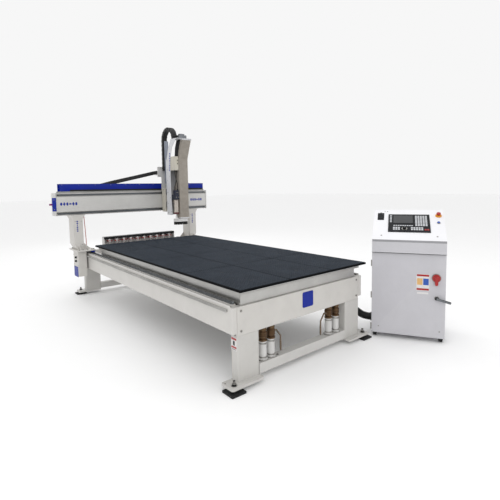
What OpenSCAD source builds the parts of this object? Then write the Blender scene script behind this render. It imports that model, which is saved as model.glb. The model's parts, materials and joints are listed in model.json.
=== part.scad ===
// CNC router: a gantry that rolls along a welded bed over a vacuum table, with a tool rack at the far end
// and a free-standing control cabinet beside the near end.
// The modules are drawn in work coordinates: the table's near left corner is x = 0, y = 0, the floor is z = 0,
// X runs across the table, Y runs along it towards the parked gantry. in_row_frame() then centres the footprint.

/* [Table] */
// Width of the vacuum table
table_w = 1600; // [1560:10:1640]
// Length of the vacuum table
table_l = 3220; // [3100:10:3240]
// Height of the table's top face above the floor
table_z = 800; // [795:1:820]
// Thickness of the black top plates
plate_t = 22; // [18:1:28]

/* [Bed] */
// How far the side beams stand out past the table's edges
bed_overhang = 25; // [20:1:30]
// Width of a side beam
side_beam_w = 150; // [130:5:160]
// Height of the underside of the side beams
side_beam_z0 = 440; // [420:5:460]
// Height of the top of the side beams
side_beam_z1 = 650; // [645:1:652]
// Wall thickness of the welded tubes
tube_wall = 8; // [5:1:12]
// Distance of the legs' outer faces from the table's edge
leg_inset = 20; // [10:5:30]
// Width of a leg across the machine
leg_w = 220; // [180:10:240]
// Depth of a leg along the machine
leg_d = 85; // [75:5:100]

/* [Gantry] */
// Width of a gantry column across the machine
column_w = 126; // [110:2:140]
// Depth of a gantry column along the machine
column_d = 225; // [200:5:240]
// Height of the underside of the cross beam
cross_z0 = 1210; // [1190:5:1230]
// Height of the top of the cross beam
cross_z1 = 1520; // [1515:1:1530]
// How far the cross beam reaches past each table edge
cross_overhang = 400; // [380:5:420]

/* [Head] */
// Left edge of the head on the cross beam, with the gantry parked
head_x = 1165; // [1100:5:1200]
// Width of the head
head_w = 250; // [240:5:260]

/* [Cabinet] */
// Width of the control cabinet
cabinet_w = 690; // [680:5:700]
// Depth of the control cabinet
cabinet_d = 500; // [490:5:520]
// Turn of the cabinet away from the machine's front
cabinet_turn = -60; // [-62:1:-58]

/* [Hidden] */
$fn = 48;
eps = 0.01;
// Centre of the whole footprint, machine and cabinet together
centre_x = 1015.006;
centre_y = 1658.77;
// Bed, along Y
bed_y0 = 70;
bed_y1 = 3865;
bed_mid_y = (bed_y0 + bed_y1) / 2;
beam_y0 = 100;
foot_x = -30;
foot_y = 55;
end_beam_z0 = 420;
// Linear guides: rail 23 wide and 22 high, saddle 36 over the rail's foot
rail_w = 23;
rail_h = 22;
slide_gap = 0.5;
rail_x = 30;
rail_seat_z = 660;
rail_y0 = 130;
rail_y1 = 3805;
rack_size = 20;
rack_z0 = 612;
// Gantry, along Y
gantry_y = 3500;
flange_z0 = 700;
flange_t = 20;
column_gap = 64;
column_x0 = -column_gap - column_w;
cross_y0 = 3500;
cross_y1 = 3700;
cross_step = 30;
cross_band = 54;
pinion_r = 30;
pinion_x = -bed_overhang - rack_size - pinion_r - 4;
// Head, along Y
head_plate_y = 3465;
slide_y = 3300;
slide_rail_x = [head_x + 30, head_x + head_w - 30];
rack_drive_y = 3498;
spindle_x = head_x + 165;
spindle_y = 3115;
cabinet_x = 1732;
cabinet_y = 17;
lip_y = -25;
lip_z0 = 885;
lip_z1 = 1020;
desk_top_y = 430;
desk_top_z = 1289;
desk_angle = atan2(desk_top_z - lip_z1, desk_top_y - lip_y);

module in_row_frame() translate([-centre_x, -centre_y, 0]) children();
module block(lo, hi) translate(lo) cube(hi - lo);
// Copies the near end of the bed to its far end
module both_ends() { children(); translate([0, 2 * bed_mid_y, 0]) mirror([0, 1, 0]) children(); }
// Copies the left side of the machine to its right side
module both_sides() { children(); translate([table_w, 0, 0]) mirror([1, 0, 0]) children(); }
module tube_x(lo, hi, wall) difference() {
    block(lo, hi);
    block(lo + [-1, wall, wall], hi - [-1, wall, wall]);
}
module rounded_plate(lo, hi, r) {
    w = hi[0] - lo[0];
    d = hi[1] - lo[1];
    translate(lo) linear_extrude(hi[2] - lo[2]) union() {
        translate([r, 0]) square([w - 2 * r, d]);
        translate([0, r]) square([w, d - 2 * r]);
        for (x = [r, w - r], y = [r, d - r]) translate([x, y]) circle(r);
    }
}
// Outline in Y and Z, extruded along X from x0 to x1
module slab_yz(x0, x1, points) translate([x0, 0, 0]) rotate([90, 0, 90]) linear_extrude(x1 - x0) polygon(points);
// Outline in X and Z, extruded along Y from y0 to y1
module slab_xz(y0, y1, points) translate([0, y1, 0]) rotate([90, 0, 0]) linear_extrude(y1 - y0) polygon(points);
module rod_z(x, y, z0, z1, r) translate([x, y, z0]) cylinder(h = z1 - z0, r = r);
module rod_y(x, z, y0, y1, r) translate([x, y0, z]) rotate([-90, 0, 0]) cylinder(h = y1 - y0, r = r);
module rod_x(y, z, x0, x1, r) translate([x0, y, z]) rotate([0, 90, 0]) cylinder(h = x1 - x0, r = r);

// ---- Bed ----
module side_beams() color("#c9c6c1") in_row_frame() both_sides() union() {
    difference() {
        block([-bed_overhang, beam_y0, side_beam_z0],
            [side_beam_w - bed_overhang, 2 * bed_mid_y - beam_y0, side_beam_z1]);
        block([tube_wall - bed_overhang, beam_y0 - 1, side_beam_z0 + tube_wall],
            [side_beam_w - bed_overhang - tube_wall, 2 * bed_mid_y - beam_y0 + 1, side_beam_z1 - tube_wall]);
    }
    block([5, rail_y0, side_beam_z1 - eps], [55, rail_y1, rail_seat_z]);
    block([-bed_overhang, beam_y0, side_beam_z1 - eps], [-bed_overhang + 8, 2 * bed_mid_y - beam_y0, rail_seat_z + 4]);
}

module end_beams() color("#c9c6c1") in_row_frame() both_ends() union() {
    rounded_plate([leg_inset, bed_y0, end_beam_z0], [table_w - leg_inset, beam_y0, side_beam_z1], 14.9);
    difference() {
        block([side_beam_w - bed_overhang, beam_y0 - eps, end_beam_z0],
            [table_w + bed_overhang - side_beam_w, bed_y0 + leg_d, side_beam_z1]);
        block([side_beam_w - bed_overhang - 1, beam_y0 + tube_wall, end_beam_z0 + tube_wall],
            [table_w + bed_overhang - side_beam_w + 1, bed_y0 + leg_d - tube_wall, side_beam_z1 - tube_wall]);
    }
}

module legs() color("#c9c6c1") in_row_frame() both_ends() both_sides() {
    difference() {
        union() {
            rounded_plate([leg_inset, bed_y0, 55], [leg_inset + leg_w, bed_y0 + leg_d, end_beam_z0], 12);
            rounded_plate([-80, 10, 35], [leg_inset + leg_w, 160, 55 + eps], 18);
        }
        block([leg_inset + tube_wall, bed_y0 + tube_wall, 20],
            [leg_inset + leg_w - tube_wall, bed_y0 + leg_d - tube_wall, end_beam_z0 - tube_wall]);
        rod_z(foot_x, foot_y, 30, 60, 11);
        rod_z(-60, 130, 30, 60, 9);
    }
}

module cross_tubes() color("#b2b2b0") in_row_frame() both_ends() tube_x(
    [leg_inset + leg_w, bed_y0, 55], [table_w - leg_inset - leg_w, bed_y0 + leg_d, 140], 5);

module table_frame() color("#a9adb2") in_row_frame() difference() {
    union() {
        block([70, 90, side_beam_z1], [table_w - 70, table_l - 30, 741]);
        block([40, 55, 740], [table_w - 40, table_l - 20, table_z - plate_t]);
    }
    for (x = [100:480:1060]) block([x, 130, side_beam_z1 - 1], [x + 440, table_l - 70, 740]);
}

module table_top() color("#3d434a") in_row_frame() difference() {
    block([0, 0, table_z - plate_t], [table_w, table_l, table_z]);
    for (i = [1, 2]) block([i * table_w / 3 - 2, -1, table_z - 6], [i * table_w / 3 + 2, table_l + 1, table_z + 1]);
    for (j = [1:3]) block([-1, j * table_l / 4 - 2, table_z - 6], [table_w + 1, j * table_l / 4 + 2, table_z + 1]);
}

module levelling_feet() color("#202224") in_row_frame() both_ends() both_sides() {
    rounded_plate([foot_x - 69, foot_y - 69, 0], [foot_x + 69, foot_y + 69, 15], 8);
    rod_z(foot_x, foot_y, 15 - eps, 95, 10);
    rod_z(foot_x, foot_y, 15 - eps, 22, 32);
    translate([foot_x, foot_y, 19 - eps]) cylinder(h = 15.9, r = 17, $fn = 6);
    translate([foot_x, foot_y, 55.05]) cylinder(h = 16, r = 17, $fn = 6);
}

module guide_rail_profile() polygon([[-11.5, 0], [11.5, 0], [11.5, 9], [8.5, 11.5], [8.5, 14.5], [11.5, 17],
    [11.5, rail_h], [-11.5, rail_h], [-11.5, 17], [-8.5, 14.5], [-8.5, 11.5], [-11.5, 9]]);

module y_rails() color("#8f9498") in_row_frame() both_sides()
    translate([rail_x, rail_y1, rail_seat_z]) rotate([90, 0, 0]) linear_extrude(rail_y1 - rail_y0) guide_rail_profile();

module y_racks() color("#6e7378") in_row_frame() both_sides()
    block([-bed_overhang - rack_size, rail_y0, rack_z0], [-bed_overhang, rail_y1, rack_z0 + rack_size]);

// ---- Vacuum pipes and valves ----
pipe_places = [318, 410, 1160, 1267];
module suction_pipes() color("#b9b8b6") in_row_frame() for (x = pipe_places) difference() {
    union() {
        rod_z(x, 118, 140, 300, 33);
        rod_z(x, 118, 140, 150, 44);
    }
    rod_z(x, 118, 139, 301, 29);
}

module valve_bodies() color("#6b4a31") in_row_frame() for (x = pipe_places) {
    rod_z(x, 118, 300, 312, 37);
    translate([x, 118, 312 - eps]) cylinder(h = 24, r1 = 30, r2 = 36);
    translate([x, 118, 336 - 2 * eps]) cylinder(h = 34, r = 36);
    translate([x, 118, 370 - 3 * eps]) cylinder(h = 22, r1 = 36, r2 = 28);
    translate([x, 118, 392 - 4 * eps]) cylinder(h = end_beam_z0 - 392 + 4 * eps, r = 34, $fn = 8);
}

// A bent rod handle: out along the valve's stem, then slanting and straight down
module valve_handle() union() {
    rod_x(0, 0, 36.5, 66, 7);
    hull() for (p = [[64, 0], [112, -62]]) translate([p[0], 0, p[1]]) sphere(7, $fn = 24);
    hull() for (p = [[112, -62], [114, -190]]) translate([p[0], 0, p[1]]) sphere(7, $fn = 24);
}
module valve_lever_left() color("#8a7a68") in_row_frame() translate([pipe_places[1], 118, 353]) valve_handle();
module valve_lever_right() color("#8a7a68") in_row_frame() translate([pipe_places[2], 118, 353]) mirror([1, 0, 0])
    valve_handle();

// ---- Tool rack ----
rack_x0 = 130;
rack_x1 = 1225;
tool_count = 10;
tool_pitch = (rack_x1 - rack_x0 - 60) / tool_count;
function tool_x(i) = rack_x0 + 30 + tool_pitch * (i + 0.5);
module tool_rack() color("#d6d6d4") in_row_frame() {
    block([rack_x0, table_l - 20, 740], [rack_x1, table_l + 130, 748]);
    block([rack_x0, table_l + 90, 748 - eps], [rack_x1, table_l + 98, 885]);
    for (x = [rack_x0, rack_x1 - 8])
        slab_yz(x, x + 8, [[table_l + 5, 748 - eps], [table_l + 92, 748 - eps], [table_l + 92, 885], [table_l + 25, 885]]);
    block([rack_x0, table_l + 20, 885 - eps], [rack_x1, table_l + 98, 893]);
}
module tool_forks() color("#b03a34") in_row_frame() for (i = [0:tool_count - 1]) translate([tool_x(i), 0, 0]) {
    difference() {
        block([-32, table_l + 12, 832], [32, table_l + 90, 842]);
        rod_z(0, table_l + 42, 830, 844, 23);
        block([-17, table_l, 830], [17, table_l + 42, 844]);
    }
}
module tool_holders() color("#c6c9cc") in_row_frame() for (i = [0:tool_count - 1])
    translate([tool_x(i), table_l + 42, 0]) {
        rod_z(0, 0, 780, 806, 17);
        translate([0, 0, 806 - eps]) cylinder(h = 25 + eps, r1 = 20, r2 = 26);
        rod_z(0, 0, 831 - eps, 843, 22);
        translate([0, 0, 843 - eps]) cylinder(h = 7, r = 27);
        translate([0, 0, 850 - 2 * eps]) cylinder(h = 30, r1 = 20, r2 = 12);
    }

// ---- Gantry ----
module gantry_columns() color("#bdbbb7") in_row_frame() both_sides() union() {
    difference() {
        slab_xz(gantry_y, gantry_y + column_d, [[-column_gap, flange_z0 + flange_t - eps], [-column_gap, cross_z0 - 60],
            [-column_gap + 34, cross_z0], [column_x0 - 34, cross_z0], [column_x0, cross_z0 - 60],
            [column_x0, 800], [column_x0 + 40, flange_z0 + flange_t - eps]]);
        slab_xz(gantry_y + tube_wall, gantry_y + column_d - tube_wall,
            [[-column_gap - tube_wall, 728], [-column_gap - tube_wall, cross_z0 - 70],
            [column_x0 + tube_wall, cross_z0 - 70], [column_x0 + tube_wall, 805], [column_x0 + 45, 728]]);
    }
    block([column_x0, 3400, flange_z0], [60, 3780, flange_z0 + flange_t]);
    for (y = [3520, 3697])
        slab_xz(y, y + 8, [[-column_gap - eps, flange_z0 + flange_t - eps], [30, flange_z0 + flange_t - eps], [-column_gap - eps, 815]]);
    slab_yz(-131, -123, [[3420, flange_z0 + flange_t - eps], [gantry_y + eps, flange_z0 + flange_t - eps], [gantry_y + eps, 800]]);
}

// Section of a bearing saddle that clears its rail by slide_gap; the rail's foot is at the origin
module saddle_outline() difference() {
    translate([-25, 4]) square([50, 36]);
    translate([-rail_w / 2 - slide_gap, -1]) square([rail_w + 2 * slide_gap, rail_h + 1 + slide_gap]);
}
module y_blocks() color("#74787c") in_row_frame() both_sides() for (y = [3505, 3765])
    translate([rail_x, y, rail_seat_z]) rotate([90, 0, 0]) linear_extrude(90) saddle_outline();

module gantry_beam() color("#bab9b7") in_row_frame() difference() {
    slab_yz(-cross_overhang, table_w + cross_overhang, [[cross_y0, cross_z0 + cross_band], [cross_y0 + cross_step, cross_z0 + cross_band],
        [cross_y0 + cross_step, cross_z0], [cross_y1, cross_z0], [cross_y1, cross_z1],
        [cross_y0 + cross_step, cross_z1], [cross_y0 + cross_step, cross_z1 - cross_band],
        [cross_y0, cross_z1 - cross_band]]);
    block([-cross_overhang - 1, cross_y0 + cross_step + tube_wall, cross_z0 + tube_wall],
        [table_w + cross_overhang + 1, cross_y1 - tube_wall, cross_z1 - tube_wall]);
}

// Heights of the two guide rails on the cross beam
cross_rail_z = [cross_z0 + cross_band / 2, cross_z1 - cross_band / 2];
module beam_rails() color("#8f9498") in_row_frame() for (z = cross_rail_z)
    translate([-cross_overhang + 20, cross_y0 + cross_step, z]) rotate([90, 0, 90])
        linear_extrude(table_w + 2 * cross_overhang - 40) rotate(90) guide_rail_profile();

module beam_rack() color("#6e7378") in_row_frame()
    block([-cross_overhang + 20, cross_y0 + cross_step, cross_z1], [table_w + cross_overhang - 20, cross_y0 + cross_step + 20, cross_z1 + 20]);

// End plates of the cross beam, and a bracket for the air fitting on the left one
module beam_end_caps() color("#cfcecb") in_row_frame() {
    both_sides() block([-cross_overhang - 10, cross_y0 - 5, cross_z0 - 2], [-cross_overhang, cross_y1 + 5, cross_z1 + 2]);
    block([-446, cross_y0 - 5, cross_z0 + 10], [-cross_overhang - 10 + eps, cross_y0 + 40, cross_z1 + 2]);
}

// Blue plates: one on the bracket with an air fitting beside it, one on each drive housing
module side_plates() color("#1f3f9c") in_row_frame() {
    block([-450, cross_y0 - 11, 1276], [-399, cross_y0 - 5, 1455]);
    rod_x(cross_y0 + 18, 1366, -480, -446, 12);
    both_sides() block([-169, 3475, 335], [-165, 3650, 480]);
}

tray_y0 = 3570;
tray_x0 = -327;
tray_z0 = cross_z1 + 2;
skirt_z0 = cross_z1 + 28;
tray_z1 = 1645;
module chain_tray() color("#1b3a9a") in_row_frame() union() {
    block([tray_x0, tray_y0, tray_z0], [1990, cross_y1, tray_z0 + 3]);
    block([tray_x0, tray_y0, skirt_z0], [1990, tray_y0 + 3, tray_z1]);
    block([tray_x0, cross_y1 - 3, tray_z0], [1990, cross_y1, tray_z1]);
    block([tray_x0, tray_y0, tray_z0], [-200, tray_y0 + 3, skirt_z0 + eps]);
    block([1987, tray_y0, tray_z0], [1990, cross_y1, tray_z1]);
    for (x = [-200:430:1950]) block([x, tray_y0 + 30, cross_z1], [x + 30, cross_y1 - 10, tray_z0 + eps]);
}

module drive_housings() color("#bdbbb7") in_row_frame() both_sides() difference() {
    rounded_plate([-165, 3450, 345], [-47, 3675, flange_z0], 10);
    block([-162, 3453, 348], [-50, 3672, flange_z0 + 1]);
    block([-60, 3490, 590], [-40, 3640, flange_z0 + 1]);
}

drive_y = 3562;
module y_drives() color("#303235") in_row_frame() both_sides() {
    block([pinion_x - 40, drive_y - 40, 500], [pinion_x + 26, drive_y + 40, 590]);
    rod_z(pinion_x, drive_y, 362, 500 + eps, 26);
    rod_z(pinion_x, drive_y, 590 - eps, 606, 14);
}

// Pinion with a hub; its toothed rim is at the rack's height
module pinion() union() {
    translate([0, 0, rack_z0 + 1]) linear_extrude(18) union() {
        circle(27);
        for (i = [0:23]) rotate(i * 15) polygon([[26, -3.2], [32.4, -1.4], [32.4, 1.4], [26, 3.2]]);
    }
    translate([0, 0, 607]) cylinder(h = 8, r = 18);
}
module y_pinion_left() color("#9b9fa3") in_row_frame() translate([pinion_x, drive_y, 0]) pinion();
module y_pinion_right() color("#9b9fa3") in_row_frame() translate([table_w - pinion_x, drive_y, 0]) pinion();

// Tube swept along points, a ring of sides at each
function unit(v) = v / norm(v);
function tangent(p, i) = unit(p[min(i + 1, len(p) - 1)] - p[max(i - 1, 0)]);
function sweep_side(t) = unit(cross(t, [0.3, 1, 0.2]));
module sweep(p, r, sides) {
    rings = [for (i = [0:len(p) - 1]) let (t = tangent(p, i), a = sweep_side(t), b = cross(t, a))
        for (k = [0:sides - 1]) p[i] + r * (a * cos(k * 360 / sides) + b * sin(k * 360 / sides))];
    last = (len(p) - 1) * sides;
    walls = [for (i = [0:len(p) - 2], k = [0:sides - 1])
        let (a = i * sides + k, b = i * sides + (k + 1) % sides) [a, b, b + sides, a + sides]];
    polyhedron(points = rings, faces = concat([[for (k = [sides - 1:-1:0]) k]],
        [[for (k = [0:sides - 1]) last + k]], walls), convexity = 4);
}
// Rounds a coarse route: each corner becomes a quadratic bend
function bend_points(p, steps) = [for (i = [1:len(p) - 2], s = [0:steps])
    let (u = s / steps, a = (p[i - 1] + p[i]) / 2, b = (p[i] + p[i + 1]) / 2)
        if (!(s == 0 && i > 1)) a * (1 - u) * (1 - u) + p[i] * 2 * u * (1 - u) + b * u * u];
function smooth_route(p, steps) = concat([p[0]], bend_points(p, steps), [p[len(p) - 1]]);

// Air line from the cross beam's underside down to the left carriage
hose_route = [[-24, 3575, 1210], [-24, 3575, 1150], [-18, 3568, 1000], [-14, 3562, 860], [-14, 3560, 780], [-14, 3560, 720]];
module air_hose() color("#c07a72") in_row_frame() sweep(smooth_route(hose_route, 4), 5, 8);

// ---- Head carriage ----
carriage_z0 = 1195;
carriage_z1 = 1560;
drive_x = 1350;
module carriage_plate() color("#b9b39d") in_row_frame() difference() {
    union() {
        block([head_x, head_plate_y, carriage_z0], [head_x + head_w, head_plate_y + 25, carriage_z1]);
        for (x = [head_x, head_x + head_w - 20])
            block([x, slide_y + 68, carriage_z0], [x + 20, head_plate_y + eps, carriage_z1]);
        for (x = [head_x, head_x + head_w - 60])
            block([x, slide_y + 68, carriage_z0], [x + 60, slide_y + 80, carriage_z1]);
        block([drive_x - 60, 3440, carriage_z1 - eps], [drive_x + 60, 3545, carriage_z1 + 12]);
    }
    rod_z(drive_x, rack_drive_y, carriage_z1 - 1, carriage_z1 + 13, 16);
    block([drive_x - 34, 3460, 1516], [drive_x + 34, 3495, carriage_z1 - eps]);
}
// Bearing saddles of the head: four on the cross beam's rails and four on the slide's rails
module carriage_blocks() color("#74787c") in_row_frame() {
    for (z = cross_rail_z, x = [head_x + 10, head_x + head_w - 100])
        translate([x, cross_y0 + cross_step, z]) rotate([90, 0, 90]) linear_extrude(90) rotate(90) saddle_outline();
    for (x = slide_rail_x, z = [1265, 1465]) translate([x, slide_y + 28, z]) linear_extrude(90) saddle_outline();
}

module chain_arm() color("#d9dadc") in_row_frame() union() {
    block([head_x, 3490, 1524], [head_x + 97, 3496, 1905]);
    block([1100, 3490, 1745], [head_x + eps, 3496, 1905]);
    block([1140, 3496 - eps, 1779], [1262, 3680, 1785]);
    block([x_chain_end, 3600, 1785 - eps], [x_chain_end + 18, 3670, 1850]);
}
module z_chain_guide() color("#9aa0ac") in_row_frame() union() {
    block([head_x + 28, 3412, 1640], [head_x + 97, 3418, 2304]);
    block([head_x + 91, 3418 - eps, 1640], [head_x + 97, 3490, 2304]);
}
module x_drive() color("#3a3c40") in_row_frame() union() {
    rounded_plate([drive_x - 45, 3453, carriage_z1 + 12], [drive_x + 45, 3543, 1650], 8);
    rod_z(drive_x, rack_drive_y, 1650 - eps, 1760, 38);
    rod_z(drive_x, rack_drive_y, 1540, carriage_z1 + 12 + eps, 14);
    rod_z(drive_x, rack_drive_y, 1522, 1540 + eps, pinion_r);
}

x_chain_end = 1160;
chain_h = 56;
// Outline of a chain run: a band of height h about a line of points in a plane
module chain_band(points, h) for (i = [0:len(points) - 2]) {
    a = points[i];
    d = points[i + 1] - a;
    translate(a) rotate(atan2(d[1], d[0])) translate([-0.5, -h / 2]) square([norm(d) + 1, h]);
}
x_chain_y = 3600;
x_chain_w = 70;
x_bend = [60, 1583.5];
x_bend_r = 29.5;
x_upper = concat([for (a = [270:-30:90]) x_bend + x_bend_r * [cos(a), sin(a)]],
    [[180, 1613], [250, 1617], [350, 1644], [456, 1669], [791, 1742], [1100, 1811], [x_chain_end - 20, 1818], [x_chain_end - 0.5, 1818]]);
module x_chain() color("#1b1c1e") in_row_frame() translate([0, x_chain_y + x_chain_w, 0]) rotate([90, 0, 0])
    linear_extrude(x_chain_w) chain_band(concat([[900, x_bend[1] - x_bend_r]], x_upper), chain_h);

// ---- Z slide ----
column_front = [[3165, 1150], [3185, 1420], [3195, 1760], [3190, 2010], [3130, 2180], [3000, 2300]];
column_back = [[3160, 2300], [3240, 2180], [3300, 2010], [3300, 1150]];
module z_column() color("#c9cacd") in_row_frame() union() {
    for (x = [head_x, head_x + head_w - 8]) slab_yz(x, x + 8, concat(column_front, column_back));
    block([head_x, slide_y, 1150], [head_x + head_w, slide_y + 28, 2010]);
    block([head_x, 2962, 2300 - eps], [head_x + head_w, 3165, 2308]);
    for (x = slide_rail_x) translate([x, slide_y + 28 - eps, 1152]) linear_extrude(850) guide_rail_profile();
}
module z_cover() color("#9e978f") in_row_frame() difference() {
    slab_yz(head_x + 85, head_x + 242, [[3072, 1100], [3072, 2010], [2955, 2295], [3130, 2295], [3175, 2180], [3195, 2010], [3195, 1100]]);
    slab_yz(head_x + 88, head_x + 239, [[3075, 1099], [3075, 2010], [2957, 2296], [3200, 2296], [3200, 1099]]);
}
module z_servo() color("#5d6166") in_row_frame() union() {
    rounded_plate([1258, 3062, 2308], [1392, 3150, 2366], 8);
    rounded_plate([1285, 3076, 2366 - eps], [1365, 3136, 2388], 6);
}
z_bend = [3282, 2312];
z_bend_r = 163;
z_path = concat([[3445, 1845]], [for (a = [0:15:180]) z_bend + z_bend_r * [cos(a), sin(a)]], [[3119, 2308.5]]);
module z_chain() color("#1b1c1e") in_row_frame() translate([head_x + 5, 0, 0]) rotate([90, 0, 90])
    linear_extrude(80) chain_band(z_path, 44);

module spindle_body() color("#a8a39b") in_row_frame() union() {
    rounded_plate([spindle_x - 60, spindle_y - 38, 1225], [spindle_x + 60, spindle_y + 80, 1640], 10);
    rod_z(spindle_x, spindle_y, 1125, 1225 + eps, 38);
    block([spindle_x - 50, spindle_y + 80 - eps, 1300], [spindle_x + 50, slide_y, 1600]);
}
module junction_box() color("#b7b3a8") in_row_frame() difference() {
    block([head_x + 9, 3080, 1835], [head_x + 83, slide_y, 2045]);
    for (z = [1935, 1985]) rod_y(head_x + 68, z, 3070, 3090, 9);
}
module valve_block() color("#23262f") in_row_frame() {
    block([head_x + 10, 3080, 1390], [head_x + 82, slide_y, 1460]);
    block([head_x + 14, 3086, 1460 - eps], [head_x + 78, 3146, 1532]);
}
lift_x = head_x + 47;
lift_y = 3120;
lift_rod_r = 8;
module shoe_cylinder() color("#b5a79f") in_row_frame() difference() {
    union() {
        rod_z(lift_x, lift_y, 1170, 1385, 36);
        for (z = [1180, 1350]) block([lift_x - 27, lift_y + 30, z], [lift_x + 27, slide_y, z + 20]);
    }
    rod_z(lift_x, lift_y, 1169, 1245, lift_rod_r + 0.06);
}
hose_a = [[1195, 3100, 1835], [1195, 3100, 1790], [1200, 3096, 1740], [1220, 3092, 1660], [1228, 3098, 1590], [1228, 3098, 1532]];
hose_b = [[1235, 3130, 1835], [1235, 3130, 1790], [1232, 3126, 1720], [1212, 3124, 1640], [1200, 3128, 1580], [1200, 3128, 1532]];
module spindle_hoses() color("#17181a") in_row_frame() for (route = [hose_a, hose_b])
    sweep(smooth_route(route, 3), 6, 8);
shoe_x = 1277;
shoe_y = 3112;
shoe_w = 111;
shoe_d = 70;
module dust_shoe() color("#dcdcdc") in_row_frame() union() {
    difference() {
        rounded_plate([shoe_x - shoe_w, shoe_y - shoe_d, 1052], [shoe_x + shoe_w, shoe_y + shoe_d, 1092], 66);
        rounded_plate([shoe_x - shoe_w + 8, shoe_y - shoe_d + 8, 1040], [shoe_x + shoe_w - 8, shoe_y + shoe_d - 8, 1084], 58);
        rod_z(spindle_x, spindle_y, 1080, 1100, 52);
    }
    rod_z(lift_x, lift_y, 1092 - eps, 1140, 14);
    rod_z(lift_x, lift_y, 1140 - eps, 1232, lift_rod_r);
}
module dust_brush() color("#161718") in_row_frame() difference() {
    rounded_plate([shoe_x - shoe_w + 4, shoe_y - shoe_d + 4, 1003], [shoe_x + shoe_w - 4, shoe_y + shoe_d - 4, 1052], 62);
    rounded_plate([shoe_x - shoe_w + 12, shoe_y - shoe_d + 12, 1002], [shoe_x + shoe_w - 12, shoe_y + shoe_d - 12, 1053], 54);
}
module spindle_nose() color("#8b9094") in_row_frame() union() {
    rod_z(spindle_x, spindle_y, 1095, 1124.5, 34);
    translate([spindle_x, spindle_y, 1058]) cylinder(h = 37 + eps, r1 = 20, r2 = 30);
    rod_z(spindle_x, spindle_y, 1020, 1058 + eps, 6);
}

// ---- Control cabinet: its own corner is x = 0, y = 0, the door faces -y ----
module in_cabinet() in_row_frame() translate([cabinet_x, cabinet_y, 0]) rotate([0, 0, cabinet_turn]) children();
module on_desk() translate([0, lip_y, lip_z1]) rotate([desk_angle, 0, 0]) children();
sheet = 3;
conduit_r = 40;
conduit_at = [160, 158];
shell_z0 = 48;
module cabinet_shell() color("#c2c1c6") in_cabinet() difference() {
    block([0, 21, shell_z0], [cabinet_w, cabinet_d, lip_z0]);
    block([sheet, 20, 75], [cabinet_w - sheet, cabinet_d - sheet, lip_z0 - sheet]);
    block([sheet, 24, shell_z0 - 1], [cabinet_w - sheet, cabinet_d - sheet, 72]);
    rod_x(conduit_at[0], conduit_at[1], -1, 4, conduit_r + 1);
}
module cabinet_door() color("#c2c1c6") in_cabinet() union() {
    difference() {
        block([1, 0, shell_z0], [cabinet_w - 1, 18, 880]);
        block([3, 2, shell_z0 + 2], [cabinet_w - 3, 19, 878]);
        rod_y(610, 449, -1, 3, 8.5);
        rod_y(604, 650, -1, 3, 12.5);
    }
    for (z = [110, 440, 770]) rod_z(-3, 2, z - 30, z + 30, 6);
    block([40, 2 - eps, 60], [60, 12, 850]);
}
module door_lever() color("#3c3f43") in_cabinet() union() {
    rod_y(610, 449, -26, 16, 8);
    rod_y(610, 449, -14, -1, 17);
    translate([610, -26, 449]) rotate([0, 14, 0]) block([-14, -10, -11], [126, 0 + eps, 11]);
}
module main_switch() color("#b5232a") in_cabinet() union() {
    rod_y(604, 650, -16, -1, 37);
    rod_y(604, 650, -1 - eps, 16, 12);
    block([592, -30, 580], [616, -16 + eps, 672]);
}
module console() color("#f0f0f2") in_cabinet() difference() {
    slab_yz(0, cabinet_w, [[lip_y, lip_z0 + 4], [lip_y, lip_z1], [desk_top_y, desk_top_z],
        [cabinet_d, desk_top_z], [cabinet_d, lip_z0], [21, lip_z0], [21, lip_z0 + 4]]);
    slab_yz(sheet, cabinet_w - sheet, [[lip_y + sheet, lip_z0 + 7], [lip_y + sheet, lip_z1 - 2],
        [desk_top_y, desk_top_z - 4], [cabinet_d - sheet, desk_top_z - 4], [cabinet_d - sheet, lip_z0 + 7]]);
    on_desk() {
        block([158, 133, -8], [545, 429, 8]);
        block([46, 342, -8], [99, 453, 8]);
        translate([640, 422, -8]) cylinder(h = 16, r = 11.5);
        translate([634, 297, -8]) cylinder(h = 16, r = 11.5);
    }
}
module control_panel() color("#2b2d31") in_cabinet() on_desk() difference() {
    union() {
        block([150, 125, 0], [553, 437, 6]);
        block([162, 137, -45], [541, 425, eps]);
    }
    translate([308, 182, -12]) cylinder(h = 30, r = 5.5);
    block([200, 277, 4], [391, 422, 7]);
}
module override_knob() color("#17181a") in_cabinet() on_desk() union() {
    translate([308, 182, 7]) cylinder(h = 18, r1 = 17, r2 = 14);
    translate([308, 182, -10]) cylinder(h = 17 + eps, r = 5);
    translate([306.5, 184, 24]) cube([3, 11, 2]);
}
module estop_button() color("#c8281e") in_cabinet() on_desk() translate([640, 422, 0]) union() {
    translate([0, 0, 22]) cylinder(h = 14, r1 = 19, r2 = 20);
    translate([0, 0, -12]) cylinder(h = 34 + eps, r = 11);
}
module reset_button() color("#1f5fae") in_cabinet() on_desk() translate([634, 297, 0]) union() {
    translate([0, 0, 6]) cylinder(h = 5, r = 13);
    translate([0, 0, -12]) cylinder(h = 18 + eps, r = 11);
}
module power_switch() color("#202226") in_cabinet() on_desk() union() {
    slab_yz(50, 95, [[350, -4], [350, 6], [397.5, 2], [445, 6], [445, -4], [397.5, -9]]);
    rod_x(397.5, -6, 47, 98, 5);
}
module casters() color("#26282a") in_cabinet() for (x = [34, cabinet_w - 34], y = [52, cabinet_d - 52]) {
    block([x - 25, y - 25, 66], [x + 25, y + 25, 72]);
    for (s = [-1, 1]) block([x + s * 19 - 2, y - 16, 22], [x + s * 19 + 2, y + 16, 66 + eps]);
    rod_x(y, 25, x - 17, x + 17, 25);
}
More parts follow.
